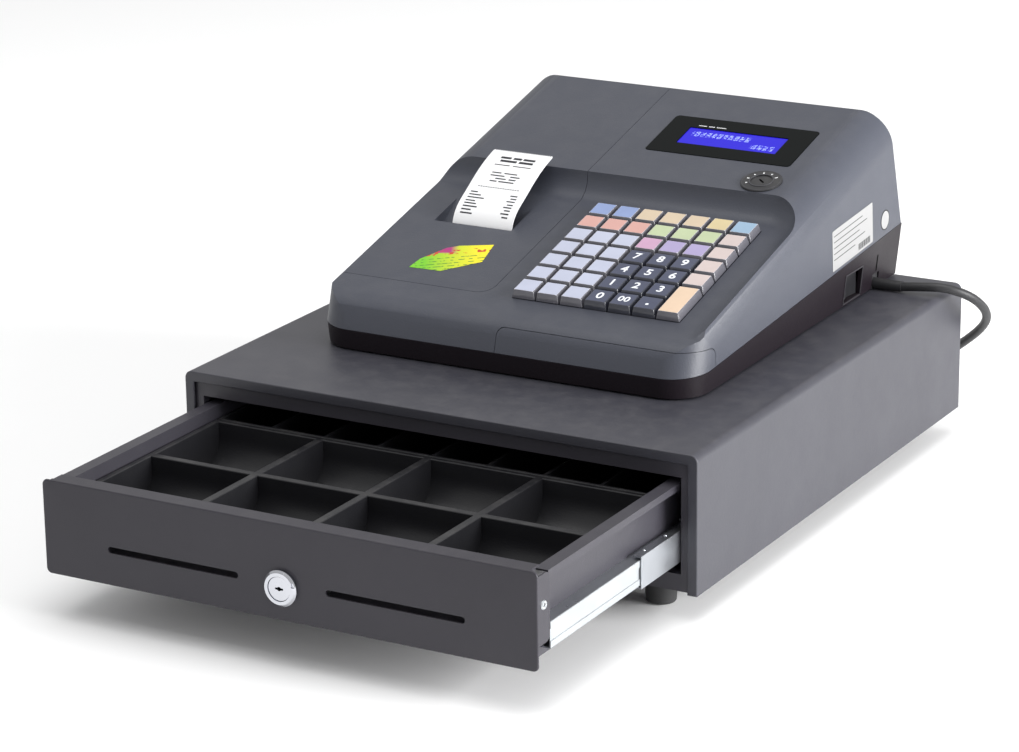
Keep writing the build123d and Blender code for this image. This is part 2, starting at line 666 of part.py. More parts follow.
with BuildPart() as tall_cap:
    with BuildSketch(Plane.XY.offset(-1.8)):
        RectangleRounded(KEY_BASE, KEY_BASE + KEY_PITCH_Y, 1.3)
    extrude(amount=2.4)
    with BuildSketch(Plane.XY.offset(0.6)):
        RectangleRounded(KEY_BASE, KEY_BASE + KEY_PITCH_Y, 1.3)
    with BuildSketch(Plane.XY.offset(KEY_RISE)):
        with Locations((0, KEY_LEAN)):
            RectangleRounded(KEY_TOP, KEY_TOP + KEY_PITCH_Y, 1.3)
    loft()
    with Locations((0, 0, -4.0)):
        Box(5, 5, 4.6)


def spot(column, row):
    """Place of a key on the deck. Column 1 is at the left and row 1 at the back."""
    return ((column - 4) * KEY_PITCH_X, (4 - row) * KEY_PITCH_Y)


key_spots = {
    "blue_keys": [(1, 1), (2, 1), (7, 1)],
    "amber_keys": [(3, 1), (4, 1), (5, 1), (6, 1)],
    "red_keys": [(1, 2), (2, 2), (3, 2)],
    "green_keys": [(4, 2), (5, 2), (6, 2)],
    "violet_keys": [(4, 3), (5, 3), (6, 3)],
    "cream_keys": [(7, 2), (7, 3), (7, 4), (7, 5)],
    "department_keys": [(column, row) for row in (3, 4, 5, 6, 7) for column in (1, 2, 3)],
    "key_7": [(4, 4)], "key_8": [(5, 4)], "key_9": [(6, 4)],
    "key_4": [(4, 5)], "key_5": [(5, 5)], "key_6": [(6, 5)],
    "key_1": [(4, 6)], "key_2": [(5, 6)], "key_3": [(6, 6)],
    "key_0": [(4, 7)], "key_00": [(5, 7)], "key_dot": [(6, 7)],
    "total_key": [(7, 6.5)],
}
for name, places in key_spots.items():
    shape = tall_cap.part if name == "total_key" else cap.part
    with BuildPart() as key:
        with Locations(KEY_DECK):
            with Locations(*[spot(*place) for place in places]):
                add(shape)
    key.part.label = name
    export_step(key.part, f"parts/{name}.step")

with BuildPart() as keyboard_board:
    with BuildSketch(KEY_DECK.offset(-9.8)):
        Rectangle(KEY_FIELD[0] + 9, KEY_FIELD[1] + 9)
    extrude(amount=-1.6)
    with BuildSketch(KEY_DECK.offset(-9.8)):
        Rectangle(KEY_FIELD[0] + 9, KEY_FIELD[1] + 9)
        Rectangle(KEY_FIELD[0] + 3, KEY_FIELD[1] + 3, mode=Mode.SUBTRACT)
    extrude(amount=6.9)
keyboard_board.part.label = "keyboard_board"
export_step(keyboard_board.part, "parts/keyboard_board.step")

# --- Displays -----------------------------------------------------------------------------------
with BuildPart() as display_window:
    with BuildSketch(WINDOW_DECK.offset(0.4)):
        RectangleRounded(*WINDOW, 3.4)
    extrude(amount=-2.9)
    chamfer(display_window.faces().sort_by(Axis.Z)[-1].edges(), 0.3)
    with BuildSketch(WINDOW_DECK.offset(3)):
        Rectangle(*LCD)
    extrude(amount=-9, mode=Mode.SUBTRACT)
display_window.part.label = "display_window"
export_step(display_window.part, "parts/display_window.step")

with BuildPart() as lcd_module:
    with BuildSketch(WINDOW_DECK.offset(-0.2)):
        Rectangle(LCD[0] - 0.2, LCD[1] - 0.2)
    extrude(amount=-3.0)
    with BuildSketch(WINDOW_DECK.offset(-2.7)):
        Rectangle(LCD[0] + 16, LCD[1] + 14)
    extrude(amount=-4.5)
lcd_module.part.label = "lcd_module"
export_step(lcd_module.part, "parts/lcd_module.step")

REAR_TILT = (CREST[1] - TAIL[1]) / (TAIL[0] - CREST[0])


def rear_y(z):
    """Depth of the sloping rear face at height z."""
    return TAIL[0] - (z - TAIL[1]) / REAR_TILT


with BuildPart() as customer_display:
    low, high = BACK_WINDOW[2] + 0.3, BACK_WINDOW[3] - 0.3
    with BuildSketch(Plane.YZ.offset(BACK_WINDOW[0] + 0.3)):
        with BuildLine():
            Polyline(yz(rear_y(low) - 8, low), yz(rear_y(low) - 0.4, low), yz(rear_y(high) - 0.4, high),
                     yz(rear_y(high) - 8, high), close=True)
        make_face()
    extrude(amount=BACK_WINDOW[1] - BACK_WINDOW[0] - 0.6)
customer_display.part.label = "customer_display"
export_step(customer_display.part, "parts/customer_display.step")

# --- Key switch and power switch --------------------------------------------------------------------
with BuildPart() as mode_switch_bezel:
    with BuildSketch(SWITCH_DECK.offset(0.05)):
        Circle(15.8)
    extrude(amount=1.3)
    chamfer(mode_switch_bezel.faces().sort_by(Axis.Z)[-1].edges(), 0.5)
    with BuildSketch(SWITCH_DECK.offset(1)):
        Circle(12.7)
    extrude(amount=-14)
    with BuildSketch(SWITCH_DECK.offset(3)):
        Circle(SWITCH_BORE + 0.06)
    extrude(amount=-20, mode=Mode.SUBTRACT)
mode_switch_bezel.part.label = "mode_switch_bezel"
export_step(mode_switch_bezel.part, "parts/mode_switch_bezel.step")

with BuildPart() as mode_switch_plug:
    with BuildSketch(SWITCH_DECK.offset(0.9)):
        Circle(SWITCH_BORE)
    extrude(amount=-15)
    with BuildSketch(SWITCH_DECK.offset(2)):
        SlotOverall(7.0, 1.6, rotation=-40)
    extrude(amount=-12, mode=Mode.SUBTRACT)
mode_switch_plug.part.label = "mode_switch_plug"
export_step(mode_switch_plug.part, "parts/mode_switch_plug.step")

ROCKER_X = 149.6
with BuildPart() as power_switch:
    with BuildSketch(Plane.XY.offset(FOOT_H + ROCKER_Z[0] + 0.5)):
        with BuildLine():
            middle = FRONT + sum(ROCKER_Y) / 2
            reach = (ROCKER_Y[1] - ROCKER_Y[0]) / 2 - 0.8
            near, far = middle - reach, middle + reach
            Polyline(
                (ROCKER_X + 1.0, near), (ROCKER_X - 2.2, middle), (ROCKER_X - 1.0, far),
                (ROCKER_X - 10, far - 4), (ROCKER_X - 10, near + 4), close=True)
        make_face()
    extrude(amount=ROCKER_Z[1] - ROCKER_Z[0] - 1)
power_switch.part.label = "power_switch"
export_step(power_switch.part, "parts/power_switch.step")

# --- Printer and electronics inside ------------------------------------------------------------------
FLOOR = BASE_Z + WALL
PLATEN = (212.0, 134.0)
ROLL = (324.0, 148.0)
ROLL_R = 31.0
with BuildPart() as printer_frame:
    block((-134, -46), (186, 240), (FLOOR, FLOOR + 2))
    for limits in ((-134, -132), (-48, -46)):
        block(limits, (196, 228), (FLOOR, 146))
    block((-132, -48), (192, 198), (112, 130))
    for limits in ((-128, -125), (-55, -52)):
        block(limits, (ROLL[0] - 10, ROLL[0] + 10), (FLOOR, ROLL[1] + 8))
    block((-128, -52), (240, 346), (FLOOR, FLOOR + 2))
    with Locations((-90, FRONT + PLATEN[0], FOOT_H + PLATEN[1])):
        Cylinder(2.56, 120, rotation=(0, 90, 0), mode=Mode.SUBTRACT)
    with Locations((-90, FRONT + ROLL[0], FOOT_H + ROLL[1])):
        Cylinder(4.06, 120, rotation=(0, 90, 0), mode=Mode.SUBTRACT)
printer_frame.part.label = "printer_frame"
export_step(printer_frame.part, "parts/printer_frame.step")

with BuildPart() as platen_roller:
    with Locations((-90, FRONT + PLATEN[0], FOOT_H + PLATEN[1])):
        Cylinder(6.5, 82, rotation=(0, 90, 0))
    with Locations((-92, FRONT + PLATEN[0], FOOT_H + PLATEN[1])):
        Cylinder(2.5, 90, rotation=(0, 90, 0))
platen_roller.part.label = "platen_roller"
export_step(platen_roller.part, "parts/platen_roller.step")

with BuildPart() as feed_gear:
    with BuildSketch(Plane.YZ.offset(-140.5)):
        with Locations(yz(*PLATEN)):
            Circle(9.0)
            with PolarLocations(9.0, 20):
                Rectangle(3.2, 1.4)
            Circle(2.5, mode=Mode.SUBTRACT)
    extrude(amount=4.5)
feed_gear.part.label = "feed_gear"
export_step(feed_gear.part, "parts/feed_gear.step")

with BuildPart() as paper_roll:
    with Locations((-90, FRONT + ROLL[0], FOOT_H + ROLL[1])):
        Cylinder(ROLL_R, 57, rotation=(0, 90, 0))
        Cylinder(4.0, 74, rotation=(0, 90, 0))
paper_roll.part.label = "paper_roll"
export_step(paper_roll.part, "parts/paper_roll.step")

with BuildPart() as main_board:
    block((-30, 128), (136, 330), (FLOOR + 6, FLOOR + 7.6))
    for x in (-24, 122):
        for y in (142, 324):
            block((x - 3, x + 3), (y - 3, y + 3), (FLOOR, FLOOR + 6))
    for x, y, size in ((20, 230, 26), (70, 210, 16), (70, 260, 12), (100, 240, 14)):
        block((x, x + size), (y, y + size), (FLOOR + 7.6, FLOOR + 10))
main_board.part.label = "main_board"
export_step(main_board.part, "parts/main_board.step")

with BuildPart() as power_transformer:
    block((48, 112), (372, 424), (FLOOR, FLOOR + 44))
    block((56, 104), (364, 432), (FLOOR + 8, FLOOR + 36))
power_transformer.part.label = "power_transformer"
export_step(power_transformer.part, "parts/power_transformer.step")

# --- Mains lead ----------------------------------------------------------------------------------------
CORD_START = 174.0
with BuildPart() as cord_gland:
    with BuildSketch(Plane.YZ.offset(146.0)):
        with Locations(yz(CORD_Y, CORD_Z + 2)):
            Rectangle(12, 12)
    extrude(amount=4.4)
    with BuildSketch(Plane.YZ.offset(150.4)):
        with Locations(yz(CORD_Y, CORD_Z)):
            Circle(4.5)
    with BuildSketch(Plane.YZ.offset(CORD_START)):
        with Locations(yz(CORD_Y, CORD_Z)):
            Circle(4.1)
    loft()
cord_gland.part.label = "cord_gland"
export_step(cord_gland.part, "parts/cord_gland.step")

# The lead runs to the right over the cabinet's edge, turns back on itself and down behind the
# cabinet, and the rest of it lies in a coil on the ground.
cord_route = [
    (CORD_START, 412.5, CORD_Z),
    (187, 412.8, 106.2),
    (208, 414.5, 108),
    (224, 426.5, 100.5),
    (228, 447, 86),
    (222, 469, 70),
    (207, 489, 53),
    (186, 506, 35),
    (164, 524, 17),
    (142, 542, 1),
    (118, 559.5, -8.5),
]
COIL = (96.0, 520.0)
COIL_INNER = 28.0
COIL_OUTER = 49.0
COIL_H = 14.0
PLUG_ANGLE = 135.0
CORD_R = CORD_D / 2


def arc_radius(before, here, after):
    """As large an arc as the two runs that meet here allow."""
    first, second = Vector(*here) - Vector(*before), Vector(*after) - Vector(*here)
    turn = radians(first.get_angle(second))
    return 0.45 * min(first.length, second.length) / tan(turn / 2)


route = [(x, FRONT + y, FOOT_H + z) for x, y, z in cord_route]
radii = [arc_radius(*route[i - 1:i + 2]) for i in range(1, len(route) - 1)]
print("cord arcs, mm:", [round(r, 1) for r in radii])
with BuildPart() as mains_cord:
    with BuildLine() as cord_line:
        FilletPolyline(*route, radius=radii)
    with BuildSketch(Plane(origin=route[0], z_dir=cord_line.line % 0)):
        Circle(CORD_R)
    sweep()
cord_length = cord_line.wire().length
print("cord length, mm:", round(cord_length, 1))
cord_share = mains_cord.part.volume / (pi * CORD_R ** 2 * cord_length)
print("cord volume over section times length:", round(cord_share, 4))
mains_cord.part.label = "mains_cord"
export_step(mains_cord.part, "parts/mains_cord.step")

with BuildPart() as cord_coil:
    with BuildSketch(Plane.XZ):
        with Locations(((COIL_INNER + COIL_OUTER) / 2, COIL_H / 2)):
            RectangleRounded(COIL_OUTER - COIL_INNER, COIL_H, CORD_R)
    revolve(axis=Axis.Z)
coil_place = Location((COIL[0], FRONT + COIL[1], 0))
coil_solid = cord_coil.part.moved(coil_place)
coil_solid.label = "cord_coil"
export_step(coil_solid, "parts/cord_coil.step")

plug_turn = radians(PLUG_ANGLE)
TURN_R = COIL_OUTER - CORD_R
plug_exit = (COIL[0] + TURN_R * cos(plug_turn), FRONT + COIL[1] + TURN_R * sin(plug_turn))
plug_way = (-sin(plug_turn), cos(plug_turn))


def along_plug(distance, height):
    """Plane across the plug, at a distance from where the lead leaves the coil."""
    x = plug_exit[0] + plug_way[0] * distance
    y = plug_exit[1] + plug_way[1] * distance
    return Plane(origin=(x, y, height), x_dir=(-plug_way[1], plug_way[0], 0), z_dir=(*plug_way, 0))


PLUG_T = 13.7
with BuildPart() as mains_plug:
    with BuildSketch(along_plug(2, 4.4)):
        Circle(4.2)
    with BuildSketch(along_plug(44, PLUG_T / 2)):
        Circle(6.2)
    loft()
    with BuildSketch(along_plug(44, PLUG_T / 2)):
        RectangleRounded(24.0, PLUG_T - 1, 5.0)
    with BuildSketch(along_plug(54, PLUG_T / 2)):
        RectangleRounded(35.3, PLUG_T, 6.0)
    loft()
    with BuildSketch(along_plug(54, PLUG_T / 2)):
        RectangleRounded(35.3, PLUG_T, 6.0)
    extrude(amount=26)
    with BuildSketch(along_plug(80, PLUG_T / 2)):
        with Locations((-9.3, 0), (9.3, 0)):
            Circle(2.0)
    extrude(amount=19)
mains_plug.part.label = "mains_plug"
export_step(mains_plug.part, "parts/mains_plug.step")
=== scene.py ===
# %% [markdown]
# A shop cash register on its drawer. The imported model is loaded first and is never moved: every piece
# made here is added in the same frame, in metres, and rides on one of its bodies.

# %% Load the frame
from math import atan2, cos, pi, radians, sin, tan

import bmesh
import bpy
from mathutils import Matrix, Vector


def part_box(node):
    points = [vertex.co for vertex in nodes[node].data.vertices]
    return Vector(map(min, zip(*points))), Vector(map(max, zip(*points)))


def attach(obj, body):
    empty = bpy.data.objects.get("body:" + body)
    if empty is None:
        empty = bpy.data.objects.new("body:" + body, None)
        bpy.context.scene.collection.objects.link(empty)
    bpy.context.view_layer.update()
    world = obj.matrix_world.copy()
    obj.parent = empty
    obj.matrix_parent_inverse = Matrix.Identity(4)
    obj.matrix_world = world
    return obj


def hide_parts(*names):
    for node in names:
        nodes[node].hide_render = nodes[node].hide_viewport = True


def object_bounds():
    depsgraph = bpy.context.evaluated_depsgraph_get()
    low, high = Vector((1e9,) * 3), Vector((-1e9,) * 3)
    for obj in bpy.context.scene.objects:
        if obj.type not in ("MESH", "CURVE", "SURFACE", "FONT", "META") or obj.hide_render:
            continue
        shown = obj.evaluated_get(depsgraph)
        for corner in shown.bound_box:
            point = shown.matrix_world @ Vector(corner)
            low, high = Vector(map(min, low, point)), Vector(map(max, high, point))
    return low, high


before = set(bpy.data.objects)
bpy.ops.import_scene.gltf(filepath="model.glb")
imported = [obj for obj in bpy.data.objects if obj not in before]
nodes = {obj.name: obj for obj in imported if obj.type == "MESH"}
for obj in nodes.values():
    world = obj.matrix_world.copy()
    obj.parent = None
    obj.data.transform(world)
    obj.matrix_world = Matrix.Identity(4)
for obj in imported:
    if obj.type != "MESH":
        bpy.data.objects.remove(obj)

cad_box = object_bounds()
print("nodes:", len(nodes), "box:", cad_box)

# %% [markdown]
# The machine's own landmarks. The cabinet is measured from its front face and its bottom edge, so a
# small helper turns such a place into the frame's metres.

# %% Landmarks
MM = 0.001
cover_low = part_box("housing_cover")[0]
CABINET_FRONT = cover_low[1]
CABINET_FOOT = cover_low[2]
DECK_ANGLE = radians(14.2)
STEP_Y = 285.5


def place(x, y, z):
    """A point in the frame, from millimetres off the cabinet's front face and bottom edge."""
    return Vector((x * MM, CABINET_FRONT + y * MM, CABINET_FOOT + z * MM))


def low_z(y):
    """Height of the lower deck."""
    return 142.0 + tan(DECK_ANGLE) * (y - 118.0)


def top_z(y):
    """Height of the upper deck."""
    return 201.3 + tan(DECK_ANGLE) * (y - STEP_Y)


def deck_matrix(x, y, z):
    """Turns a flat drawing so that it lies on a deck at that place, x to the right and y up the slope."""
    return Matrix.Translation(place(x, y, z)) @ Matrix.Rotation(DECK_ANGLE, 4, "X")


print("cabinet front at", round(CABINET_FRONT, 4), "foot at", round(CABINET_FOOT, 4))

# %% [markdown]
# The camera looks down at the front right corner from a little over two metres away, with a long lens
# and a very slight roll.

# %% Camera
AIM = Vector((0.06256, -0.1293, 0.15412))
AZIMUTH, ELEVATION, ROLL = radians(29.53), radians(17.89), radians(-0.72)
DISTANCE = 2.41516
toward = Vector((sin(AZIMUTH) * cos(ELEVATION), -cos(AZIMUTH) * cos(ELEVATION), sin(ELEVATION)))
level = Vector((cos(AZIMUTH), sin(AZIMUTH), 0))
upright = toward.cross(level)
right = level * cos(ROLL) + upright * sin(ROLL)
up = upright * cos(ROLL) - level * sin(ROLL)
camera_data = bpy.data.cameras.new("camera")
camera_data.lens = 125.74
camera_data.sensor_width = 36.0
camera = bpy.data.objects.new("camera", camera_data)
eye = AIM + toward * DISTANCE
camera.matrix_world = Matrix((
    (right.x, up.x, toward.x, eye.x),
    (right.y, up.y, toward.y, eye.y),
    (right.z, up.z, toward.z, eye.z),
    (0, 0, 0, 1),
))
bpy.context.scene.collection.objects.link(camera)
bpy.context.scene.camera = camera
print("camera at", tuple(round(v, 3) for v in eye))

# %% [markdown]
# Materials are built from nodes. Three effects are shared, so each is a node group: a fine moulded
# grain, a soft unevenness of colour, and dust with handling marks.

# %% Node helpers
def group_with(name, inputs, outputs):
    """Empty node group with float inputs {name: default} and outputs {name: kind}."""
    group = bpy.data.node_groups.new(name, "ShaderNodeTree")
    for label, value in inputs.items():
        kind = "NodeSocketColor" if isinstance(value, tuple) else "NodeSocketFloat"
        socket = group.interface.new_socket(label, in_out="INPUT", socket_type=kind)
        socket.default_value = value
    for label, kind in outputs.items():
        group.interface.new_socket(label, in_out="OUTPUT", socket_type=kind)
    source = group.nodes.new("NodeGroupInput")
    sink = group.nodes.new("NodeGroupOutput")
    return group, source, sink


def math_node(tree, operation, first, second=0.5, clamp=False):
    """Math node whose inputs are sockets or numbers; returns its output."""
    node = tree.nodes.new("ShaderNodeMath")
    node.operation = operation
    node.use_clamp = clamp
    for slot, value in zip(node.inputs, (first, second)):
        if isinstance(value, (int, float)):
            slot.default_value = value
        else:
            tree.links.new(value, slot)
    return node.outputs[0]


def mix_colour(tree, factor, first, second, blend="MIX"):
    """Colour mix; each input is a socket or a value."""
    node = tree.nodes.new("ShaderNodeMix")
    node.data_type = "RGBA"
    node.blend_type = blend
    for slot, value in ((node.inputs[0], factor), (node.inputs[6], first), (node.inputs[7], second)):
        if isinstance(value, (int, float)):
            slot.default_value = value
        elif isinstance(value, tuple):
            slot.default_value = (*value[:3], 1)
        else:
            tree.links.new(value, slot)
    return node.outputs[2]


def noise(tree, scale, detail=3.0, rough=0.5):
    """Noise on Object coordinates; scale is a number or a socket."""
    coords = tree.nodes.new("ShaderNodeTexCoord")
    node = tree.nodes.new("ShaderNodeTexNoise")
    node.inputs["Detail"].default_value = detail
    node.inputs["Roughness"].default_value = rough
    tree.links.new(coords.outputs["Object"], node.inputs["Vector"])
    if isinstance(scale, (int, float)):
        node.inputs["Scale"].default_value = scale
    else:
        tree.links.new(scale, node.inputs["Scale"])
    return node.outputs[0]


def ramp(tree, value, low, high):
    """Stretches a value between low and high to 0..1."""
    node = tree.nodes.new("ShaderNodeMapRange")
    node.inputs["From Min"].default_value = low
    node.inputs["From Max"].default_value = high
    tree.links.new(value, node.inputs["Value"])
    return node.outputs[0]


# %% Shared effects
grain, source, sink = group_with("moulded grain", {"Scale": 1400.0, "Coarse": 260.0}, {"Height": "NodeSocketFloat"})
fine = noise(grain, source.outputs["Scale"], 2.0, 0.6)
coarse = noise(grain, source.outputs["Coarse"], 2.0, 0.5)
summed = math_node(grain, "ADD", math_node(grain, "MULTIPLY", fine, 0.7), math_node(grain, "MULTIPLY", coarse, 0.3))
grain.links.new(summed, sink.inputs["Height"])

tone, source, sink = group_with(
    "uneven tone", {"Colour": (0.5, 0.5, 0.5, 1), "Scale": 9.0, "Amount": 0.12}, {"Colour": "NodeSocketColor"})
cloud = ramp(tone, noise(tone, source.outputs["Scale"], 4.0), 0.3, 0.7)
shift = math_node(tone, "MULTIPLY", math_node(tone, "SUBTRACT", cloud, 0.5), source.outputs["Amount"])
bright = math_node(tone, "ADD", shift, 1.0)
combine = tone.nodes.new("ShaderNodeCombineColor")
for slot in combine.inputs[:3]:
    tone.links.new(bright, slot)
tone.links.new(mix_colour(tone, 1.0, source.outputs["Colour"], combine.outputs[0], "MULTIPLY"), sink.inputs["Colour"])

marks, source, sink = group_with(
    "handling marks", {"Roughness": 0.4, "Spread": 0.12, "Scale": 30.0}, {"Roughness": "NodeSocketFloat"})
smear = ramp(marks, noise(marks, source.outputs["Scale"], 6.0, 0.65), 0.25, 0.75)
lift = math_node(marks, "MULTIPLY", math_node(marks, "SUBTRACT", smear, 0.5), source.outputs["Spread"])
marks.links.new(math_node(marks, "ADD", source.outputs["Roughness"], lift), sink.inputs["Roughness"])

dust, source, sink = group_with(
    "settled dust", {"Colour": (0.5, 0.5, 0.5, 1), "Amount": 0.08, "Scale": 60.0}, {"Colour": "NodeSocketColor"})
geometry = dust.nodes.new("ShaderNodeNewGeometry")
split_normal = dust.nodes.new("ShaderNodeSeparateXYZ")
dust.links.new(geometry.outputs["Normal"], split_normal.inputs[0])
facing_up = ramp(dust, split_normal.outputs["Z"], 0.55, 1.0)
patches = ramp(dust, noise(dust, source.outputs["Scale"], 5.0, 0.7), 0.42, 0.72)
amount = math_node(dust, "MULTIPLY", math_node(dust, "MULTIPLY", facing_up, patches), source.outputs["Amount"])
dust.links.new(mix_colour(dust, amount, source.outputs["Colour"], (0.45, 0.43, 0.41)), sink.inputs["Colour"])
print("shared effects:", grain.name, tone.name, marks.name, dust.name)

# %% [markdown]
# One function lays out a finish: a plain Principled shader whose colour, roughness and bump come
# through the shared groups. Values that are the same all over stay on the shader's own sockets.

# %% Finish builder
def finish(name, colour, rough, metallic=0.0, bump=0.12, grain_scale=1400.0, coarse_scale=260.0, tone_amount=0.12,
           tone_scale=9.0, spread=0.12, dusty=0.05, coat=0.0, specular=0.5, depth=0.0004):
    """Material with tone, marks, dust and grain; returns it."""
    material = bpy.data.materials.new(name)
    material.use_nodes = True
    tree = material.node_tree
    shader = tree.nodes["Principled BSDF"]
    shader.inputs["Metallic"].default_value = metallic
    shader.inputs["Coat Weight"].default_value = coat
    shader.inputs["Coat Roughness"].default_value = 0.12
    shader.inputs["Specular IOR Level"].default_value = specular
    tone_node = tree.nodes.new("ShaderNodeGroup")
    tone_node.node_tree = tone
    tone_node.inputs["Colour"].default_value = (*colour, 1)
    tone_node.inputs["Scale"].default_value = tone_scale
    tone_node.inputs["Amount"].default_value = tone_amount
    dust_node = tree.nodes.new("ShaderNodeGroup")
    dust_node.node_tree = dust
    dust_node.inputs["Amount"].default_value = dusty
    tree.links.new(tone_node.outputs["Colour"], dust_node.inputs["Colour"])
    tree.links.new(dust_node.outputs["Colour"], shader.inputs["Base Color"])
    marks_node = tree.nodes.new("ShaderNodeGroup")
    marks_node.node_tree = marks
    marks_node.inputs["Roughness"].default_value = rough
    marks_node.inputs["Spread"].default_value = spread
    tree.links.new(marks_node.outputs["Roughness"], shader.inputs["Roughness"])
    grain_node = tree.nodes.new("ShaderNodeGroup")
    grain_node.node_tree = grain
    grain_node.inputs["Scale"].default_value = grain_scale
    grain_node.inputs["Coarse"].default_value = coarse_scale
    bump_node = tree.nodes.new("ShaderNodeBump")
    bump_node.inputs["Strength"].default_value = bump
    bump_node.inputs["Distance"].default_value = depth
    tree.links.new(grain_node.outputs["Height"], bump_node.inputs["Height"])
    tree.links.new(bump_node.outputs["Normal"], shader.inputs["Normal"])
    return material


cabinet_paint = finish("cabinet paint", (0.036, 0.036, 0.046), 0.42, bump=0.35, grain_scale=1100, spread=0.1,
                       tone_amount=0.08, dusty=0.04, specular=0.55)
drawer_paint = finish("drawer paint", (0.032, 0.030, 0.038), 0.42, bump=0.35, grain_scale=1100, spread=0.1,
                      tone_amount=0.08, dusty=0.03, specular=0.35)
frame_paint = finish("frame paint", (0.034, 0.032, 0.041), 0.45, bump=0.3, dusty=0.03)
zinc = finish("bright zinc", (0.60, 0.63, 0.65), 0.34, metallic=1.0, bump=0.08, coarse_scale=90, spread=0.2)
dull_zinc = finish("dull zinc", (0.46, 0.48, 0.51), 0.38, metallic=1.0, bump=0.08, coarse_scale=90, spread=0.2)
steel = finish("plain steel", (0.5, 0.5, 0.51), 0.36, metallic=1.0, bump=0.1, coarse_scale=120, spread=0.2)
chrome = finish("polished chrome", (0.56, 0.57, 0.61), 0.12, metallic=1.0, bump=0.02, spread=0.08, dusty=0.0)
rubber = finish("black rubber", (0.022, 0.022, 0.023), 0.7, bump=0.3, grain_scale=900)
insert_black = finish("insert black", (0.010, 0.010, 0.012), 0.36, bump=0.3, grain_scale=900, dusty=0.05, specular=0.45)
case_upper = finish("upper case", (0.047, 0.051, 0.067), 0.42, bump=0.5, grain_scale=1000, coarse_scale=420,
                    tone_amount=0.07, spread=0.08, dusty=0.03)
case_lower = finish("lower case", (0.010, 0.007, 0.010), 0.44, bump=0.5, grain_scale=1000, coarse_scale=420,
                    tone_amount=0.07, spread=0.08, dusty=0.02, specular=0.2)
window_black = finish("window black", (0.002, 0.003, 0.003), 0.10, bump=0.01, spread=0.04, dusty=0.0,
                      specular=0.06)
switch_black = finish("switch black", (0.014, 0.014, 0.016), 0.35, bump=0.2)
board_green = finish("board green", (0.02, 0.12, 0.05), 0.4, bump=0.1)
core_steel = finish("core steel", (0.09, 0.09, 0.1), 0.5, metallic=0.7)
gear_white = finish("gear white", (0.72, 0.70, 0.66), 0.4)
sheath = finish("cord sheath", (0.016, 0.016, 0.018), 0.5, bump=0.2, grain_scale=700, dusty=0.03)
paper = finish("thermal paper", (0.80, 0.80, 0.81), 0.6, bump=0.1, grain_scale=600, tone_amount=0.03, dusty=0.0)
print("finishes:", len(bpy.data.materials))

# %% [markdown]
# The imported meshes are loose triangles. A small geometry-node modifier joins them and shades curved
# faces smoothly while keeping true corners crisp, so the mesh itself stays as it was packed.

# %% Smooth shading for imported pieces
smoother = bpy.data.node_groups.new("crisp corners", "GeometryNodeTree")
smoother.interface.new_socket("Geometry", in_out="INPUT", socket_type="NodeSocketGeometry")
smoother.interface.new_socket("Geometry", in_out="OUTPUT", socket_type="NodeSocketGeometry")
mesh_in = smoother.nodes.new("NodeGroupInput")
mesh_out = smoother.nodes.new("NodeGroupOutput")
merge = smoother.nodes.new("GeometryNodeMergeByDistance")
merge.inputs["Distance"].default_value = 0.000005
all_smooth = smoother.nodes.new("GeometryNodeSetShadeSmooth")
all_smooth.domain = "FACE"
corners_sharp = smoother.nodes.new("GeometryNodeSetShadeSmooth")
corners_sharp.domain = "EDGE"
corners_sharp.inputs["Shade Smooth"].default_value = False
edge_angle = smoother.nodes.new("GeometryNodeInputMeshEdgeAngle")
is_corner = smoother.nodes.new("FunctionNodeCompare")
is_corner.data_type = "FLOAT"
is_corner.operation = "GREATER_THAN"
is_corner.inputs[1].default_value = radians(28)
links = smoother.links
links.new(mesh_in.outputs[0], merge.inputs["Geometry"])
links.new(merge.outputs[0], all_smooth.inputs["Geometry"])
links.new(all_smooth.outputs[0], corners_sharp.inputs["Geometry"])
links.new(edge_angle.outputs["Unsigned Angle"], is_corner.inputs[0])
links.new(is_corner.outputs[0], corners_sharp.inputs["Selection"])
links.new(corners_sharp.outputs[0], mesh_out.inputs[0])


def coat_node(name, material, smooth=True):
    """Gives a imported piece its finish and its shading."""
    obj = nodes[name]
    if obj.material_slots:
        for slot in obj.material_slots:
            slot.link = "OBJECT"
            slot.material = material
    else:
        obj.data.materials.append(material)
    if smooth:
        modifier = obj.modifiers.new("crisp corners", "NODES")
        modifier.node_group = smoother


node_finish = {
    "housing_cover": cabinet_paint, "front_frame": frame_paint, "chassis_tray": frame_paint,
    "housing_feet": rubber, "slide_rails": zinc, "latch_solenoid": steel, "latch_lever": steel,
    "ball_cages": dull_zinc, "drawer_front": drawer_paint, "drawer_body": frame_paint,
    "drawer_runners": zinc, "coin_tray": insert_black, "note_tray": insert_black,
    "drawer_striker": steel, "lock_barrel": chrome, "lock_plug": chrome, "lock_cam": steel,
    "lower_case": case_lower, "upper_case": case_upper, "front_access_cover": case_upper,
    "printer_cover": case_upper, "display_window": window_black, "customer_display": window_black,
    "mode_switch_bezel": switch_black, "mode_switch_plug": switch_black, "keyboard_board": switch_black,
    "main_board": board_green, "power_transformer": core_steel, "printer_frame": steel,
    "tear_bar": zinc, "cord_gland": sheath, "mains_plug": sheath, "platen_roller": rubber,
    "feed_gear": gear_white, "paper_roll": paper, "receipt_paper": paper, "power_switch": switch_black,
}
for name, material in node_finish.items():
    coat_node(name, material)
print("finished nodes:", len(node_finish))

# %% [markdown]
# The mains lead is one smooth curve. It leaves the strain relief, rounds the cabinet's edge, drops
# behind the cabinet and is wound into a neat coil of five turns in two layers.

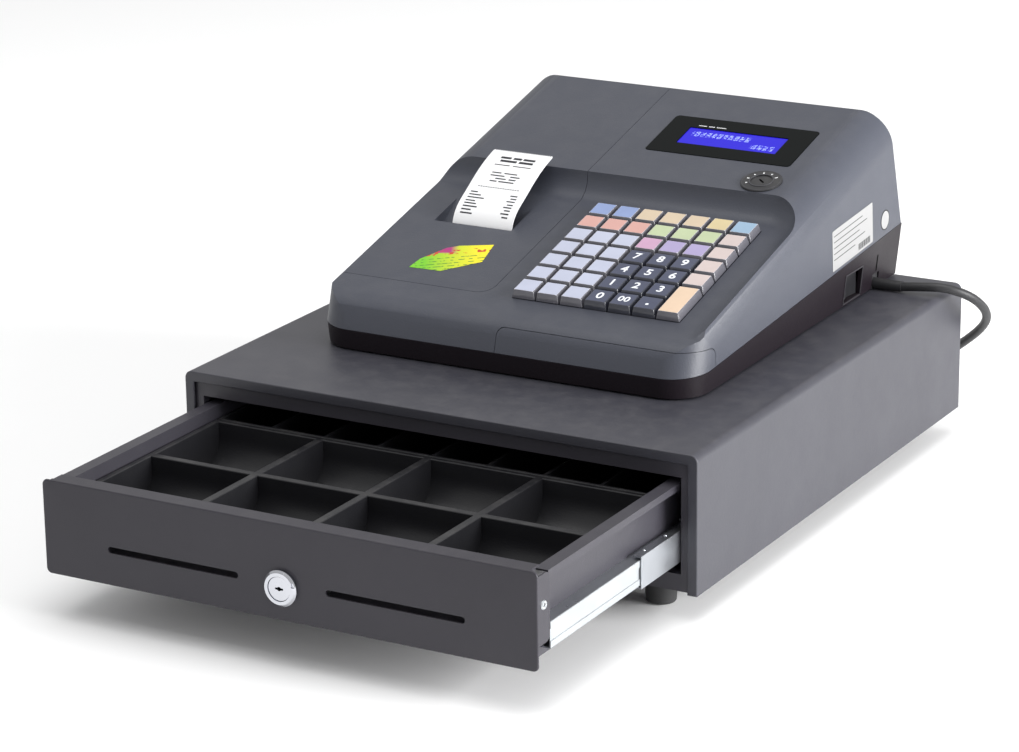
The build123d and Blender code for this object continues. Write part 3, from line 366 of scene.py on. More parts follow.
# %% Mains lead
CORD_D = 0.007
cord_route = [
    (174, 412.5, 104.6), (187, 412.8, 106.2), (208, 414.5, 108), (224, 426.5, 100.5), (228, 447, 86),
    (222, 469, 70), (207, 489, 53), (186, 506, 35), (164, 524, 17), (142, 542, 1), (118, 559.5, -8.5),
]
COIL_CENTRE = (96.0, 520.0)
RINGS = (45.5, 38.5, 31.5)
LOW, HIGH = -15.5, -8.5
PER_TURN = 16
START_ANGLE, TURNED = radians(62), radians(5 * 360 + 73)


def coil_points():
    """Points of the coil: the upper layer winds inward, the lower layer winds outward again."""
    turns = [(r, HIGH) for r in RINGS] + [(r, LOW) for r in reversed(RINGS)]
    count = int(TURNED / (2 * pi / PER_TURN))
    points = []
    for i in range(1, count + 1):
        turned = TURNED * i / count
        step = min(turned / (2 * pi), len(turns) - 1.0)
        here = int(step)
        there = min(here + 1, len(turns) - 1)
        share = max(0.0, (step - here - 0.7) / 0.3)
        radius = turns[here][0] + (turns[there][0] - turns[here][0]) * share
        height = turns[here][1] + (turns[there][1] - turns[here][1]) * share
        angle = START_ANGLE + turned
        points.append((COIL_CENTRE[0] + radius * cos(angle), COIL_CENTRE[1] + radius * sin(angle), height))
    return points


lead_points = [place(*p) for p in cord_route + coil_points()]
lead_curve = bpy.data.curves.new("mains_lead", "CURVE")
lead_curve.dimensions = "3D"
lead_curve.bevel_depth = CORD_D / 2
lead_curve.bevel_resolution = 5
lead_curve.resolution_u = 6
lead_curve.use_fill_caps = True
spline = lead_curve.splines.new("NURBS")
spline.points.add(len(lead_points) - 1)
for point, where in zip(spline.points, lead_points):
    point.co = (*where, 1)
spline.use_endpoint_u = True
spline.order_u = 3
mains_lead = bpy.data.objects.new("mains_lead", lead_curve)
bpy.context.scene.collection.objects.link(mains_lead)
lead_curve.materials.append(sheath)
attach(mains_lead, "cabinet")
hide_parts("mains_cord", "cord_coil")
print("lead points:", len(lead_points))

# %% [markdown]
# New pieces are modelled with bmesh. These helpers finish a bmesh as an object that rides on a body.

# %% Modelling helpers
def to_object(name, bm, body, material, smooth=True):
    """Makes a bmesh an object at the origin, riding on a body."""
    mesh = bpy.data.meshes.new(name)
    bmesh.ops.recalc_face_normals(bm, faces=bm.faces)
    bm.to_mesh(mesh)
    bm.free()
    for material_used in (material if isinstance(material, (list, tuple)) else [material]):
        mesh.materials.append(material_used)
    if smooth:
        mesh.shade_smooth()
        mesh.set_sharp_from_angle(angle=radians(30))
    obj = bpy.data.objects.new(name, mesh)
    bpy.context.scene.collection.objects.link(obj)
    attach(obj, body)
    return obj


def bevel_edges(bm, edges, width, segments=2):
    """Rounds the given edges."""
    return bmesh.ops.bevel(bm, geom=list(edges), offset=width, segments=segments, profile=0.5, affect="EDGES",
                           material=-1)


def slab(bm, width, depth, thick, matrix, corner=0.0, segments=4):
    """Plate with rounded corners that stands thick above a matrix's plane; returns its new faces."""
    before = set(bm.faces)
    made = bmesh.ops.create_grid(bm, x_segments=1, y_segments=1, size=0.5)
    verts = made["verts"]
    bmesh.ops.scale(bm, vec=(width, depth, 1), verts=verts)
    if corner > 0:
        bmesh.ops.bevel(bm, geom=verts, offset=corner, segments=segments, profile=0.5, affect="VERTICES", material=-1)
    base = [f for f in bm.faces if f not in before]
    if thick > 0:
        raised = bmesh.ops.extrude_face_region(bm, geom=base)
        top = [g for g in raised["geom"] if isinstance(g, bmesh.types.BMVert)]
        bmesh.ops.translate(bm, vec=(0, 0, thick), verts=top)
    new_faces = [f for f in bm.faces if f not in before]
    new_verts = {v for f in new_faces for v in f.verts}
    bmesh.ops.transform(bm, matrix=matrix, verts=list(new_verts))
    return new_faces


def ring(bm, outer, inner, thick, matrix, segments=64):
    """Flat ring that stands thick above a matrix's plane."""
    before = set(bm.verts)
    profile = [bm.verts.new(Vector(p)) for p in ((inner, 0, 0), (outer, 0, 0), (outer, 0, thick), (inner, 0, thick))]
    edges = [bm.edges.new((profile[i], profile[(i + 1) % 4])) for i in range(4)]
    bmesh.ops.spin(bm, geom=profile + edges, cent=(0, 0, 0), axis=(0, 0, 1), angle=2 * pi, steps=segments,
                   use_merge=True)
    verts = [v for v in bm.verts if v not in before]
    bmesh.ops.transform(bm, matrix=matrix, verts=verts)


# %% [markdown]
# Each key is a clear cap over a coloured insert: a square skirt, sides that slope in to a small flat
# top, and pale rims that are painted highlight where light gathers in the clear plastic; the foot of
# the skirt is painted shade. One function shapes a cap from a cube; the insert's colour is a second material on the top
# face.

# %% Key finishes
def key_finish(name, colour, rough=0.22):
    """Glossy key plastic."""
    return finish(name, colour, rough, bump=0.03, grain_scale=500, tone_amount=0.1, tone_scale=40, spread=0.06,
                  dusty=0.02, coat=0.5)


# Pale rim: painted highlight along the clear cap's edges.
rim_painted_highlight = key_finish("clear rim", (0.78, 0.78, 0.83), 0.2)
rim_navy = key_finish("clear rim over navy", (0.085, 0.095, 0.14), 0.2)
skirt_grey = key_finish("clear skirt", (0.105, 0.103, 0.12), 0.25)
skirt_navy = key_finish("clear skirt over navy", (0.030, 0.032, 0.045), 0.25)
# Foot of the skirt: painted shade where neighbouring keys and the deck shade it.
skirt_painted_shade = key_finish("painted shade under the skirt", (0.018, 0.018, 0.026), 0.4)
insert_colours = {
    "grey": (0.43, 0.455, 0.57), "navy": (0.034, 0.042, 0.086), "blue": (0.21, 0.28, 0.50),
    "sky": (0.25, 0.37, 0.50), "beige": (0.55, 0.44, 0.31), "yellow": (0.56, 0.46, 0.25),
    "red": (0.57, 0.31, 0.27), "green": (0.43, 0.50, 0.30), "pink": (0.50, 0.29, 0.43),
    "purple": (0.34, 0.29, 0.49), "cream": (0.54, 0.45, 0.43), "orange": (0.66, 0.49, 0.35),
}
insert_finish = {name: key_finish("insert " + name, colour) for name, colour in insert_colours.items()}
print("key finishes:", len(insert_finish) + 5)

# %% Key shape
KEY_BASE, KEY_TOP, KEY_RISE, KEY_LEAN = 18.5, 15.8, 6.7, 0.5
PITCH_X, PITCH_Y = 19.3, 19.7
KEYS_X, KEYS_Y = 57.8, 198.3
key_deck = deck_matrix(KEYS_X, KEYS_Y, low_z(KEYS_Y))


def key_cap(bm, column, row, insert, skirt=1, rows=1):
    """One cap on the deck: skirt, sloping sides, rounded edges and an inset top."""
    before = set(bm.verts)
    made = bmesh.ops.create_grid(bm, x_segments=1, y_segments=1, size=0.5)
    extra = (rows - 1) * PITCH_Y * MM
    bmesh.ops.scale(bm, vec=(KEY_BASE * MM, KEY_BASE * MM + extra, 1), verts=made["verts"])
    bmesh.ops.translate(bm, vec=(0, 0, -1.8 * MM), verts=made["verts"])
    base = list({f for v in made["verts"] for f in v.link_faces})
    lifted = bmesh.ops.extrude_face_region(bm, geom=base)
    middle = [g for g in lifted["geom"] if isinstance(g, bmesh.types.BMVert)]
    bmesh.ops.translate(bm, vec=(0, 0, 2.4 * MM), verts=middle)
    middle_face = [g for g in lifted["geom"] if isinstance(g, bmesh.types.BMFace)]
    lifted = bmesh.ops.extrude_face_region(bm, geom=middle_face)
    upper = [g for g in lifted["geom"] if isinstance(g, bmesh.types.BMVert)]
    top_face = [g for g in lifted["geom"] if isinstance(g, bmesh.types.BMFace)]
    bmesh.ops.delete(bm, geom=[f for f in middle_face if f.is_valid and f not in top_face], context="FACES_ONLY")
    shrink = (KEY_TOP * MM) / (KEY_BASE * MM)
    shrink_y = (KEY_TOP * MM + extra) / (KEY_BASE * MM + extra)
    bmesh.ops.scale(bm, vec=(shrink, shrink_y, 1), verts=upper)
    bmesh.ops.translate(bm, vec=(0, KEY_LEAN * MM, (KEY_RISE - 0.6) * MM), verts=upper)
    # The sloping sides take the skirt slot; the low band of the skirt by the deck takes the next slot, which is painted
    # shade.
    for face in {f for v in middle for f in v.link_faces}:
        face.material_index = skirt if any(v in upper for v in face.verts) else skirt + 1
    top = top_face[0]
    top.material_index = 0
    # The ring round the inset top takes the first slot; on the coloured keys that is the pale rim, a painted highlight.
    inset = bmesh.ops.inset_region(bm, faces=[top], thickness=0.55 * MM, depth=-0.25 * MM)
    for face in inset["faces"]:
        face.material_index = 0
    top.material_index = insert
    own = [v for v in bm.verts if v not in before]
    own_set = set(own)
    edges = [e for e in bm.edges if e.verts[0] in own_set and e.verts[1] in own_set]
    steep = [e for e in edges if len(e.link_faces) == 2 and e.calc_face_angle(0) > radians(35)
             and top not in e.link_faces]
    bevel_edges(bm, steep, 0.7 * MM, 3)
    own = [v for v in bm.verts if v not in before]
    spot = Matrix.Translation(((column - 4) * PITCH_X * MM, (4 - row) * PITCH_Y * MM, 0))
    bmesh.ops.transform(bm, matrix=key_deck @ spot, verts=own)


key_rows = {
    "blue_keys": [(1, 1, "blue"), (2, 1, "blue"), (7, 1, "sky")],
    "amber_keys": [(3, 1, "beige"), (4, 1, "beige"), (5, 1, "beige"), (6, 1, "yellow")],
    "red_keys": [(1, 2, "red"), (2, 2, "red"), (3, 2, "red")],
    "green_keys": [(4, 2, "green"), (5, 2, "green"), (6, 2, "green")],
    "violet_keys": [(4, 3, "pink"), (5, 3, "purple"), (6, 3, "purple")],
    "cream_keys": [(7, 2, "cream"), (7, 3, "cream"), (7, 4, "cream"), (7, 5, "cream")],
    "department_keys": [(column, row, "grey") for row in (3, 4, 5, 6, 7) for column in (1, 2, 3)],
    "total_key": [(7, 6.5, "orange")],
}
digit_spots = {
    "key_7": (4, 4, "7"), "key_8": (5, 4, "8"), "key_9": (6, 4, "9"), "key_4": (4, 5, "4"), "key_5": (5, 5, "5"),
    "key_6": (6, 5, "6"), "key_1": (4, 6, "1"), "key_2": (5, 6, "2"), "key_3": (6, 6, "3"), "key_0": (4, 7, "0"),
    "key_00": (5, 7, "00"), "key_dot": (6, 7, "."),
}
for node, caps in key_rows.items():
    bm = bmesh.new()
    shades = sorted({shade for _, _, shade in caps})
    for column, row, shade in caps:
        key_cap(bm, column, row, 3 + shades.index(shade), rows=2 if node == "total_key" else 1)
    caps_object = to_object(node + "_caps", bm, node + "_body",
                            [rim_painted_highlight, skirt_grey, skirt_painted_shade] + [insert_finish[s] for s in shades])
    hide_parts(node)
for node, (column, row, legend) in digit_spots.items():
    bm = bmesh.new()
    key_cap(bm, column, row, 3)
    caps_object = to_object(node + "_cap", bm, node + "_body",
                            [rim_navy, skirt_navy, skirt_painted_shade, insert_finish["navy"]])
    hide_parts(node)
print("keys:", sum(len(v) for v in key_rows.values()) + len(digit_spots))

# %% [markdown]
# The digit keys carry plain white numerals. Each numeral is text made into a thin mesh and laid just
# above its key's insert, so it travels with the key.

# %% Numerals
legend_white = key_finish("legend white", (0.80, 0.82, 0.86), 0.35)


def lettering(name, text, size, matrix, body, material, raise_by=0.00004):
    """Text as a thin mesh, centred on a matrix's plane."""
    drawn = bpy.data.curves.new(name, "FONT")
    drawn.body = text
    drawn.size = size
    drawn.offset = size * 0.02
    drawn.align_x = "CENTER"
    drawn.align_y = "CENTER"
    drawn.extrude = raise_by / 2
    drawn.resolution_u = 4
    holder = bpy.data.objects.new(name + "_text", drawn)
    mesh = bpy.data.meshes.new_from_object(holder)
    bpy.data.objects.remove(holder)
    mesh.transform(matrix)
    mesh.materials.clear()
    mesh.materials.append(material)
    obj = bpy.data.objects.new(name, mesh)
    bpy.context.scene.collection.objects.link(obj)
    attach(obj, body)
    return obj


for node, (column, row, legend) in digit_spots.items():
    spot = Matrix.Translation(((column - 4) * PITCH_X * MM, ((4 - row) * PITCH_Y + KEY_LEAN) * MM,
                               (KEY_RISE - 0.25 + 0.04) * MM))
    size = 0.0092 if legend == "00" else 0.0112
    if legend == ".":
        size = 0.016
        spot = spot @ Matrix.Translation((0, 0.002, 0))
    lettering(node + "_numeral", legend, size, key_deck @ spot, node + "_body", legend_white)
print("numerals:", len(digit_spots))

# %% [markdown]
# The lit display is a blue glass with two short rows of dotted cells, which spell nothing. The dots are drawn by the material from
# Object coordinates turned to lie along the deck.

# %% Lit display glass
lcd = bpy.data.materials.new("lcd glass")
lcd.use_nodes = True
tree = lcd.node_tree
shader = tree.nodes["Principled BSDF"]
shader.inputs["Roughness"].default_value = 0.12
shader.inputs["Specular IOR Level"].default_value = 0.15
coords = tree.nodes.new("ShaderNodeTexCoord")
turn = tree.nodes.new("ShaderNodeMapping")
turn.vector_type = "TEXTURE"
window_centre = place(57.25, 355.0, top_z(355.0))
turn.inputs["Location"].default_value = window_centre
turn.inputs["Rotation"].default_value = (DECK_ANGLE, 0, 0)
tree.links.new(coords.outputs["Object"], turn.inputs["Vector"])
parts = tree.nodes.new("ShaderNodeSeparateXYZ")
tree.links.new(turn.outputs["Vector"], parts.inputs[0])
DOT = 0.00062
CELL_X = 0.0047


def cells(value, size):
    """Position inside a repeating cell, 0..1."""
    return math_node(tree, "FRACT", math_node(tree, "DIVIDE", value, size))


def dots(value):
    """1 on a dot, 0 between dots."""
    return math_node(tree, "LESS_THAN", math_node(tree, "ABSOLUTE", math_node(tree, "SUBTRACT", cells(value, DOT), 0.5)),
                     0.36)


def band_mask(value, middle, reach):
    """1 within reach of the middle, 0 outside."""
    return math_node(tree, "LESS_THAN", math_node(tree, "ABSOLUTE", math_node(tree, "SUBTRACT", value, middle)), reach)


across, along = parts.outputs["X"], parts.outputs["Y"]
inside_x = math_node(tree, "LESS_THAN", cells(across, CELL_X), 0.74)
upper_row = math_node(tree, "MULTIPLY", band_mask(along, 0.0042, 0.0036), band_mask(across, -0.0115, 0.0242))
lower_row = math_node(tree, "MULTIPLY", band_mask(along, -0.0054, 0.0036), band_mask(across, 0.0272, 0.0098))
rows_mask = math_node(tree, "MAXIMUM", upper_row, lower_row)
picture = noise(tree, 620.0, 0.0)
lit = math_node(tree, "GREATER_THAN", picture, 0.49)
glow = math_node(tree, "MULTIPLY", dots(across), dots(along))
for mask in (inside_x, rows_mask):
    glow = math_node(tree, "MULTIPLY", glow, mask)
glow = math_node(tree, "MULTIPLY", glow, math_node(tree, "ADD", math_node(tree, "MULTIPLY", lit, 0.85), 0.08))
blue = (0.016, 0.010, 0.40)
pale = (0.42, 0.52, 0.95)
tree.links.new(mix_colour(tree, glow, blue, pale), shader.inputs["Base Color"])
tree.links.new(mix_colour(tree, glow, blue, pale), shader.inputs["Emission Color"])
shader.inputs["Emission Strength"].default_value = 0.45
coat_node("lcd_module", lcd)
print("display glass ready")

# %% [markdown]
# Small details finish the upper case: rings and marks round the key switch, a round
# seal and a plain rating plate on the right side, and a coloured sticker beside the receipt.

# %% Deck details
mark_white = finish("mark white", (0.72, 0.73, 0.74), 0.5, bump=0.02)
mark_grey = finish("mark grey", (0.02, 0.02, 0.022), 0.6, bump=0.02, specular=0.2)
switch_deck = deck_matrix(107.3, 301.4, top_z(301.4))
bm = bmesh.new()
for i, angle in enumerate((-120, -85, -50, -15, 20, 55)):
    turned = radians(90 - angle)
    centre = Matrix.Translation((0.0112 * cos(turned), 0.0112 * sin(turned), 0.00136))
    slab(bm, 0.0011, 0.0022 if i % 2 else 0.0015, 0.00005, switch_deck @ centre @ Matrix.Rotation(turned - pi / 2, 4, "Z"))
to_object("mode_marks", bm, "cabinet", mark_white, smooth=False)

bm = bmesh.new()
ring(bm, 0.0094, 0.0086, 0.0004, switch_deck @ Matrix.Translation((0, 0, 0.0013)))
ring(bm, 0.0148, 0.0143, 0.00012, switch_deck @ Matrix.Translation((0, 0, 0.00134)))
to_object("mode_rings", bm, "cabinet", core_steel)

# %% Side plate and seal
side_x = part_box("upper_case")[1][0]
side = Matrix.Rotation(radians(90), 4, "Y") @ Matrix.Rotation(radians(90), 4, "Z")


def on_side(y, z, tilt=0.0, proud=0.0):
    """Matrix on the right-hand side at y, z: x runs to the back and y runs up."""
    where = place(0, y, z)
    where.x = side_x + proud * MM
    return Matrix.Translation(where) @ side @ Matrix.Rotation(tilt, 4, "Z")


plate_white = finish("plate white", (0.30, 0.30, 0.30), 0.5, bump=0.05, specular=0.3)
plate_tilt = atan2(0.0755, 1.0)
plate_place = on_side(360.7, 154.5, plate_tilt, 0.02)
bm = bmesh.new()
slab(bm, 0.0730, 0.0316, 0.00018, plate_place, 0.0012)
to_object("rating_plate", bm, "cabinet", plate_white, smooth=False)
bm = bmesh.new()
for i in range(5):
    width = (0.052, 0.060, 0.046, 0.056, 0.038)[i]
    line = Matrix.Translation((-0.034 + width / 2, 0.011 - i * 0.0046, 0.0002))
    slab(bm, width, 0.0006, 0.00003, plate_place @ line)
for i in range(16):
    bar = Matrix.Translation((0.010 + 0.0014 * i, -0.0115, 0.0002))
    slab(bm, 0.0005 + 0.0003 * (i * 7 % 3), 0.0050, 0.00003, plate_place @ bar)
to_object("rating_lines", bm, "cabinet", mark_grey, smooth=False)
bm = bmesh.new()
bmesh.ops.create_circle(bm, cap_ends=True, segments=48, radius=0.007)
raised = bmesh.ops.extrude_face_region(bm, geom=list(bm.faces))
bmesh.ops.translate(bm, vec=(0, 0, 0.00015), verts=[g for g in raised["geom"] if isinstance(g, bmesh.types.BMVert)])
bmesh.ops.transform(bm, matrix=on_side(421, 152.9, 0, 0.02), verts=bm.verts)
to_object("round_seal", bm, "cabinet", plate_white)
bm = bmesh.new()
ring(bm, 0.0079, 0.0070, 0.0001, on_side(421, 152.9, 0, 0.02))
to_object("seal_ring", bm, "cabinet", mark_grey)
print("side plate and seal at x", round(side_x, 4))

# %% Sticker
sticker = bpy.data.materials.new("sticker print")
sticker.use_nodes = True
tree = sticker.node_tree
shader = tree.nodes["Principled BSDF"]
shader.inputs["Roughness"].default_value = 0.3
coords = tree.nodes.new("ShaderNodeTexCoord")
turn = tree.nodes.new("ShaderNodeMapping")
turn.vector_type = "TEXTURE"
turn.inputs["Location"].default_value = place(-82, 172, low_z(172))
turn.inputs["Rotation"].default_value = (DECK_ANGLE, 0, radians(25))
tree.links.new(coords.outputs["Object"], turn.inputs["Vector"])
parts = tree.nodes.new("ShaderNodeSeparateXYZ")
tree.links.new(turn.outputs["Vector"], parts.inputs[0])
sideways = ramp(tree, parts.outputs["X"], -0.020, 0.022)
field = mix_colour(tree, sideways, (0.16, 0.50, 0.01), (0.80, 0.68, 0.01))
swirl = math_node(tree, "ADD", parts.outputs["Y"], math_node(tree, "MULTIPLY", noise(tree, 60.0, 2.0), 0.010))
corner_band = math_node(tree, "MULTIPLY", ramp(tree, swirl, 0.0115, 0.0135), ramp(tree, parts.outputs["X"], 0.004, -0.002))
field = mix_colour(tree, corner_band, field, (0.36, 0.02, 0.16))
blobs = math_node(tree, "GREATER_THAN", noise(tree, 240.0, 1.0), 0.53)
blob_row = math_node(tree, "LESS_THAN", math_node(tree, "ABSOLUTE", math_node(
    tree, "SUBTRACT", parts.outputs["Y"], 0.0085)), 0.0032)
field = mix_colour(tree, math_node(tree, "MULTIPLY", blobs, blob_row), field, (0.50, 0.05, 0.01))
lines_across = math_node(tree, "LESS_THAN", math_node(tree, "FRACT", math_node(
    tree, "DIVIDE", parts.outputs["Y"], 0.0042)), 0.22)
broken = math_node(tree, "GREATER_THAN", noise(tree, 330.0, 1.0), 0.5)
below = math_node(tree, "LESS_THAN", parts.outputs["Y"], 0.002)
writing = math_node(tree, "MULTIPLY", math_node(tree, "MULTIPLY", lines_across, broken), below)
tree.links.new(mix_colour(tree, writing, field, (0.03, 0.16, 0.02)), shader.inputs["Base Color"])
outline = [(-107.2, 151.9), (-105.2, 164.5), (-93.5, 184.1), (-85.3, 189.2), (-60.7, 196.9), (-57.0, 172.3),
           (-81.2, 152.6)]
bm = bmesh.new()
face = bm.faces.new([bm.verts.new(place(x, y, low_z(y) + 0.06)) for x, y in outline])
raised = bmesh.ops.extrude_face_region(bm, geom=[face])
bmesh.ops.translate(bm, vec=(0, -0.00003, 0.00012),
                    verts=[g for g in raised["geom"] if isinstance(g, bmesh.types.BMVert)])
to_object("sticker", bm, "printer_lid", sticker, smooth=False)
print("sticker ready")

# %% [markdown]
# The receipt carries rows of plain dashes and ends in the small teeth that the tear bar leaves. Each
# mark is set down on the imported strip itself, found with a ray, so it follows the strip's curl.

# %% Receipt print
from mathutils.bvhtree import BVHTree


def surface_of(name):
    """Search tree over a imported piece's faces."""
    mesh = nodes[name].data
    return BVHTree.FromPolygons([v.co for v in mesh.vertices], [tuple(p.vertices) for p in mesh.polygons])


def resting_on(tree_found, start, direction, proud):
    """Matrix on the face that a ray meets: x stays level and z stands off the face."""
    where, normal, _, _ = tree_found.ray_cast(start, direction)
    level_x = Vector((1, 0, 0))
    upward = normal.cross(level_x).normalized()
    rotation = Matrix((level_x, upward, normal)).transposed().to_4x4()
    return Matrix.Translation(where + normal * proud) @ rotation


strip = surface_of("receipt_paper")
ink = finish("receipt ink", (0.03, 0.03, 0.035), 0.6, bump=0.02, specular=0.2)
STRIP_MIDDLE = -84.6
FORWARD = Vector((0, 1, 0))
curl = []
for step in range(160):
    height = 208.0 - 0.25 * step
    curl.append((height, strip.ray_cast(place(STRIP_MIDDLE, 150, height), FORWARD)[0]))


def height_along(distance):
    """Height on the strip's face at a distance in millimetres down from its end."""
    passed = 0.0
    for (_, before_here), (height, here) in zip(curl, curl[1:]):
        passed += (here - before_here).length / MM
        if passed >= distance:
            return height
    return curl[-1][0]


dash_rows = [
    (5.5, [(-10, 9), (0, 7), (10, 10)], 2.6), (9.5, [(-6, 14), (9, 12)], 2.6), (15.0, [(-9, 13), (8, 15)], 1.0),
    (24.0, [(-9, 8), (3, 11)], 1.2), (27.0, [(-7, 12), (8, 8)], 1.2), (30.0, [(-3, 9), (7, 6)], 1.2),
    (33.0, [(-8, 6), (3, 13)], 1.2), (39.5, [(-17 + 2.1 * i, 1.2) for i in range(17)], 0.9),
    (46.0, [(-18, 6), (16, 6)], 1.2), (49.0, [(-16, 10), (17, 5)], 1.2), (52.0, [(-14, 14), (16, 7)], 1.2),
    (55.0, [(-17, 8), (17, 5)], 1.2), (58.0, [(-16, 10), (16, 7)], 1.2), (61.0, [(-15, 12), (17, 5)], 1.2),
    (64.0, [(-17, 8), (16, 7)], 1.2), (67.0, [(-16, 10), (17, 5)], 1.2),
]
bm = bmesh.new()
for distance, dashes, tall in dash_rows:
    for shift_x, wide in dashes:
        start = place(STRIP_MIDDLE + shift_x, 150, height_along(distance))
        slab(bm, wide * MM, tall * MM, 0.00003, resting_on(strip, start, FORWARD, 0.00004))
to_object("receipt_print", bm, "printer_lid", ink, smooth=False)

bm = bmesh.new()
strip_low, strip_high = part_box("receipt_paper")
edge_start = Vector(((strip_low[0] + strip_high[0]) / 2, strip_high[1] - 0.0012, strip_high[2] + 0.02))
edge_place = resting_on(strip, edge_start, Vector((0, 0, -1)), -0.0003)
teeth = 25
pitch = (strip_high[0] - strip_low[0]) / teeth
for i in range(teeth):
    left = (i - teeth / 2) * pitch
    tooth = [bm.verts.new(edge_place @ Vector(p)) for p in (
        (left, 0.0008, 0), (left + pitch, 0.0008, 0), (left + pitch / 2, 0.0026, 0))]
    raised = bmesh.ops.extrude_face_region(bm, geom=[bm.faces.new(tooth)])
    lift = (edge_place.to_3x3() @ Vector((0, 0, 1))) * 0.00028
    bmesh.ops.translate(bm, vec=lift, verts=[g for g in raised["geom"] if isinstance(g, bmesh.types.BMVert)])
to_object("receipt_teeth", bm, "printer_lid", paper, smooth=False)
print("receipt rows:", len(dash_rows), "teeth:", teeth)

# %% Window caption
window_face = surface_of("display_window")
bm = bmesh.new()
for x, wide in ((25.0, 6.5), (32.5, 5.0), (40.5, 8.0)):
    slab(bm, wide * MM, 0.0009, 0.00003, resting_on(window_face, place(x, 370.6, 300), Vector((0, 0, -1)), 0.00003))
to_object("window_caption", bm, "cabinet", mark_white, smooth=False)

# %% [markdown]
# On the right side the rocker has a white mark, its pocket a thin raised frame whose lighter grey is
# painted highlight, and a narrow black plate of painted shade stands for a slit above the strain relief.
# They are also set down with rays.

# %% Side switch marks
def across_side(name, y, z, proud):
    """Matrix on a piece's right-hand face: x runs to the back, y up and z outwards."""
    where, normal, _, _ = surface_of(name).ray_cast(place(260, y, z), Vector((-1, 0, 0)))
    back = Vector((0, 1, 0))
    upward = normal.cross(back).normalized()
    back = upward.cross(normal).normalized()
    return Matrix.Translation(where + normal * proud) @ Matrix((back, upward, normal)).transposed().to_4x4()


bm = bmesh.new()
slab(bm, 0.0022, 0.0075, 0.00004, across_side("power_switch", 361.0, 116.5, 0.00003))
to_object("rocker_mark", bm, "rocker", mark_white, smooth=False)
# Black for the slit is painted shade standing for the shaded inside of the opening.
slit_painted_shade = finish("painted shade in the slit", (0.001, 0.001, 0.001), 0.8, bump=0.02, dusty=0.0, specular=0.05)
# The frame is raised geometry; its lighter grey is painted highlight along the pocket's edges.
frame_painted_highlight = finish("switch frame painted highlight", (0.035, 0.033, 0.038), 0.4, bump=0.1)
bm = bmesh.new()
ROCKER_SPAN = (353.0, 383.0, 104.0, 125.0)
y0, y1, z0, z1 = ROCKER_SPAN
for y, z, wide, tall in ((y0 - 0.8, 114.5, 1.0, 23.0), (y1 + 0.8, 114.5, 1.0, 23.0),
                         (368.0, z1 + 0.8, 32.6, 1.0), (368.0, z0 - 0.8, 32.6, 1.0)):
    slab(bm, wide * MM, tall * MM, 0.0005, across_side("lower_case", y, z, -0.00005))
to_object("switch_frame", bm, "cabinet", frame_painted_highlight, smooth=False)
# The slit: a narrow black plate of painted shade.
bm = bmesh.new()
slab(bm, 0.0022, 0.013, 0.00004, across_side("lower_case", 412.0, 121.0, 0.00003), 0.0004)
to_object("side_slit", bm, "cabinet", slit_painted_shade, smooth=False)
print("switch marks ready")

# %% [markdown]
# The drawer front is held to its runners by a cross-head screw on each side flange. The cross in each head is a thin
# black plate, painted shade standing for the recess.

# %% Drawer screws
bm = bmesh.new()
for sign in (1, -1):
    head = Matrix.Translation(place(sign * 190.0, -185.2, 56.7)) @ Matrix.Rotation(radians(90 * sign), 4, "Y")
    made = bmesh.ops.create_cone(bm, cap_ends=True, segments=40, radius1=0.0034, radius2=0.0028, depth=0.0009)
    bmesh.ops.translate(bm, vec=(0, 0, 0.0003), verts=made["verts"])
    bmesh.ops.transform(bm, matrix=head, verts=made["verts"])
to_object("drawer_screws", bm, "drawer", zinc)
# The crosses are thin black plates of painted shade for the recesses in the heads.
bm = bmesh.new()
for sign in (1, -1):
    head = Matrix.Translation(place(sign * 190.0, -185.2, 56.7)) @ Matrix.Rotation(radians(90 * sign), 4, "Y")
    for turn_by in (20, 110):
        cross = head @ Matrix.Rotation(radians(turn_by), 4, "Z") @ Matrix.Translation((0, 0, 0.00074))
        slab(bm, 0.0036, 0.0007, 0.00004, cross)
to_object("drawer_screw_slot_shade", bm, "drawer", switch_black, smooth=False)
print("drawer screws ready")

# %% [markdown]
# A pale flat floor, a broad soft light from the right, a wide one
# overhead and a surround that is brightest above give the soft shadows of a studio table.

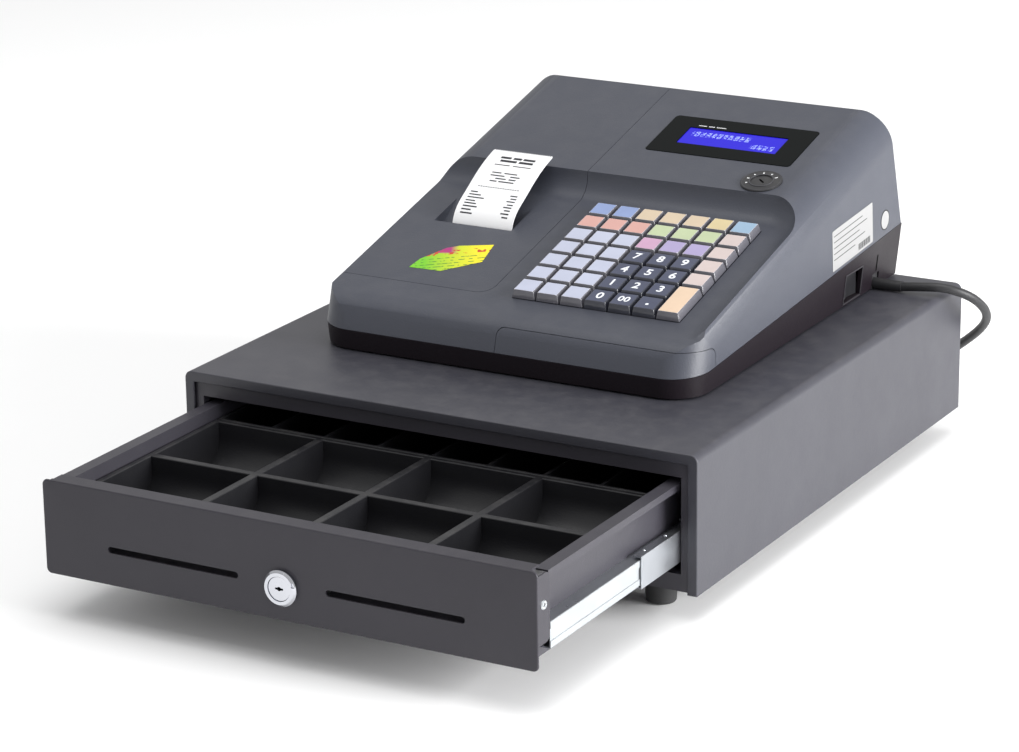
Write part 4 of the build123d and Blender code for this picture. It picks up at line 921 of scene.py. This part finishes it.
# %% Floor and lights
floor_material = bpy.data.materials.new("floor")
floor_material.use_nodes = True
floor_shader = floor_material.node_tree.nodes["Principled BSDF"]
floor_shader.inputs["Base Color"].default_value = (0.94, 0.94, 0.94, 1)
floor_shader.inputs["Roughness"].default_value = 0.65
bm = bmesh.new()
bmesh.ops.create_grid(bm, x_segments=1, y_segments=1, size=14.0)
floor_mesh = bpy.data.meshes.new("floor")
bm.to_mesh(floor_mesh)
bm.free()
floor_mesh.materials.append(floor_material)
floor = bpy.data.objects.new("floor", floor_mesh)
floor.location.z = cad_box[0][2] - 0.0005
bpy.context.scene.collection.objects.link(floor)

world = bpy.data.worlds.new("surround")
world.use_nodes = True
sky = world.node_tree
sky_direction = sky.nodes.new("ShaderNodeNewGeometry")
sky_split = sky.nodes.new("ShaderNodeSeparateXYZ")
sky.links.new(sky_direction.outputs["Normal"], sky_split.inputs[0])
sky_level = sky.nodes.new("ShaderNodeMapRange")
sky_level.inputs["From Min"].default_value = 0.15
sky_level.inputs["From Max"].default_value = 0.85
sky_level.inputs["To Min"].default_value = 0.62
sky_level.inputs["To Max"].default_value = 1.0
sky.links.new(sky_split.outputs["Z"], sky_level.inputs["Value"])
sky.links.new(sky_level.outputs[0], sky.nodes["Background"].inputs[1])
sky.nodes["Background"].inputs[0].default_value = (1.0, 1.0, 1.0, 1)
bpy.context.scene.world = world
bpy.context.scene.view_settings.view_transform = "Standard"


def soft_light(name, where, size, power, colour=(1, 1, 1)):
    """Square area light aimed at the object."""
    data = bpy.data.lights.new(name, "AREA")
    data.shape = "SQUARE"
    data.size = size
    data.energy = power
    data.color = colour
    lamp = bpy.data.objects.new(name, data)
    lamp.location = where
    lamp.rotation_euler = (Vector((0, 0, 0.1)) - Vector(where)).to_track_quat("-Z", "Y").to_euler()
    bpy.context.scene.collection.objects.link(lamp)


soft_light("side_light", (3.0, 0.3, 0.8), 1.8, 190)
soft_light("top_light", (0.2, -0.3, 3.2), 2.4, 60)
print("floor and lights ready")
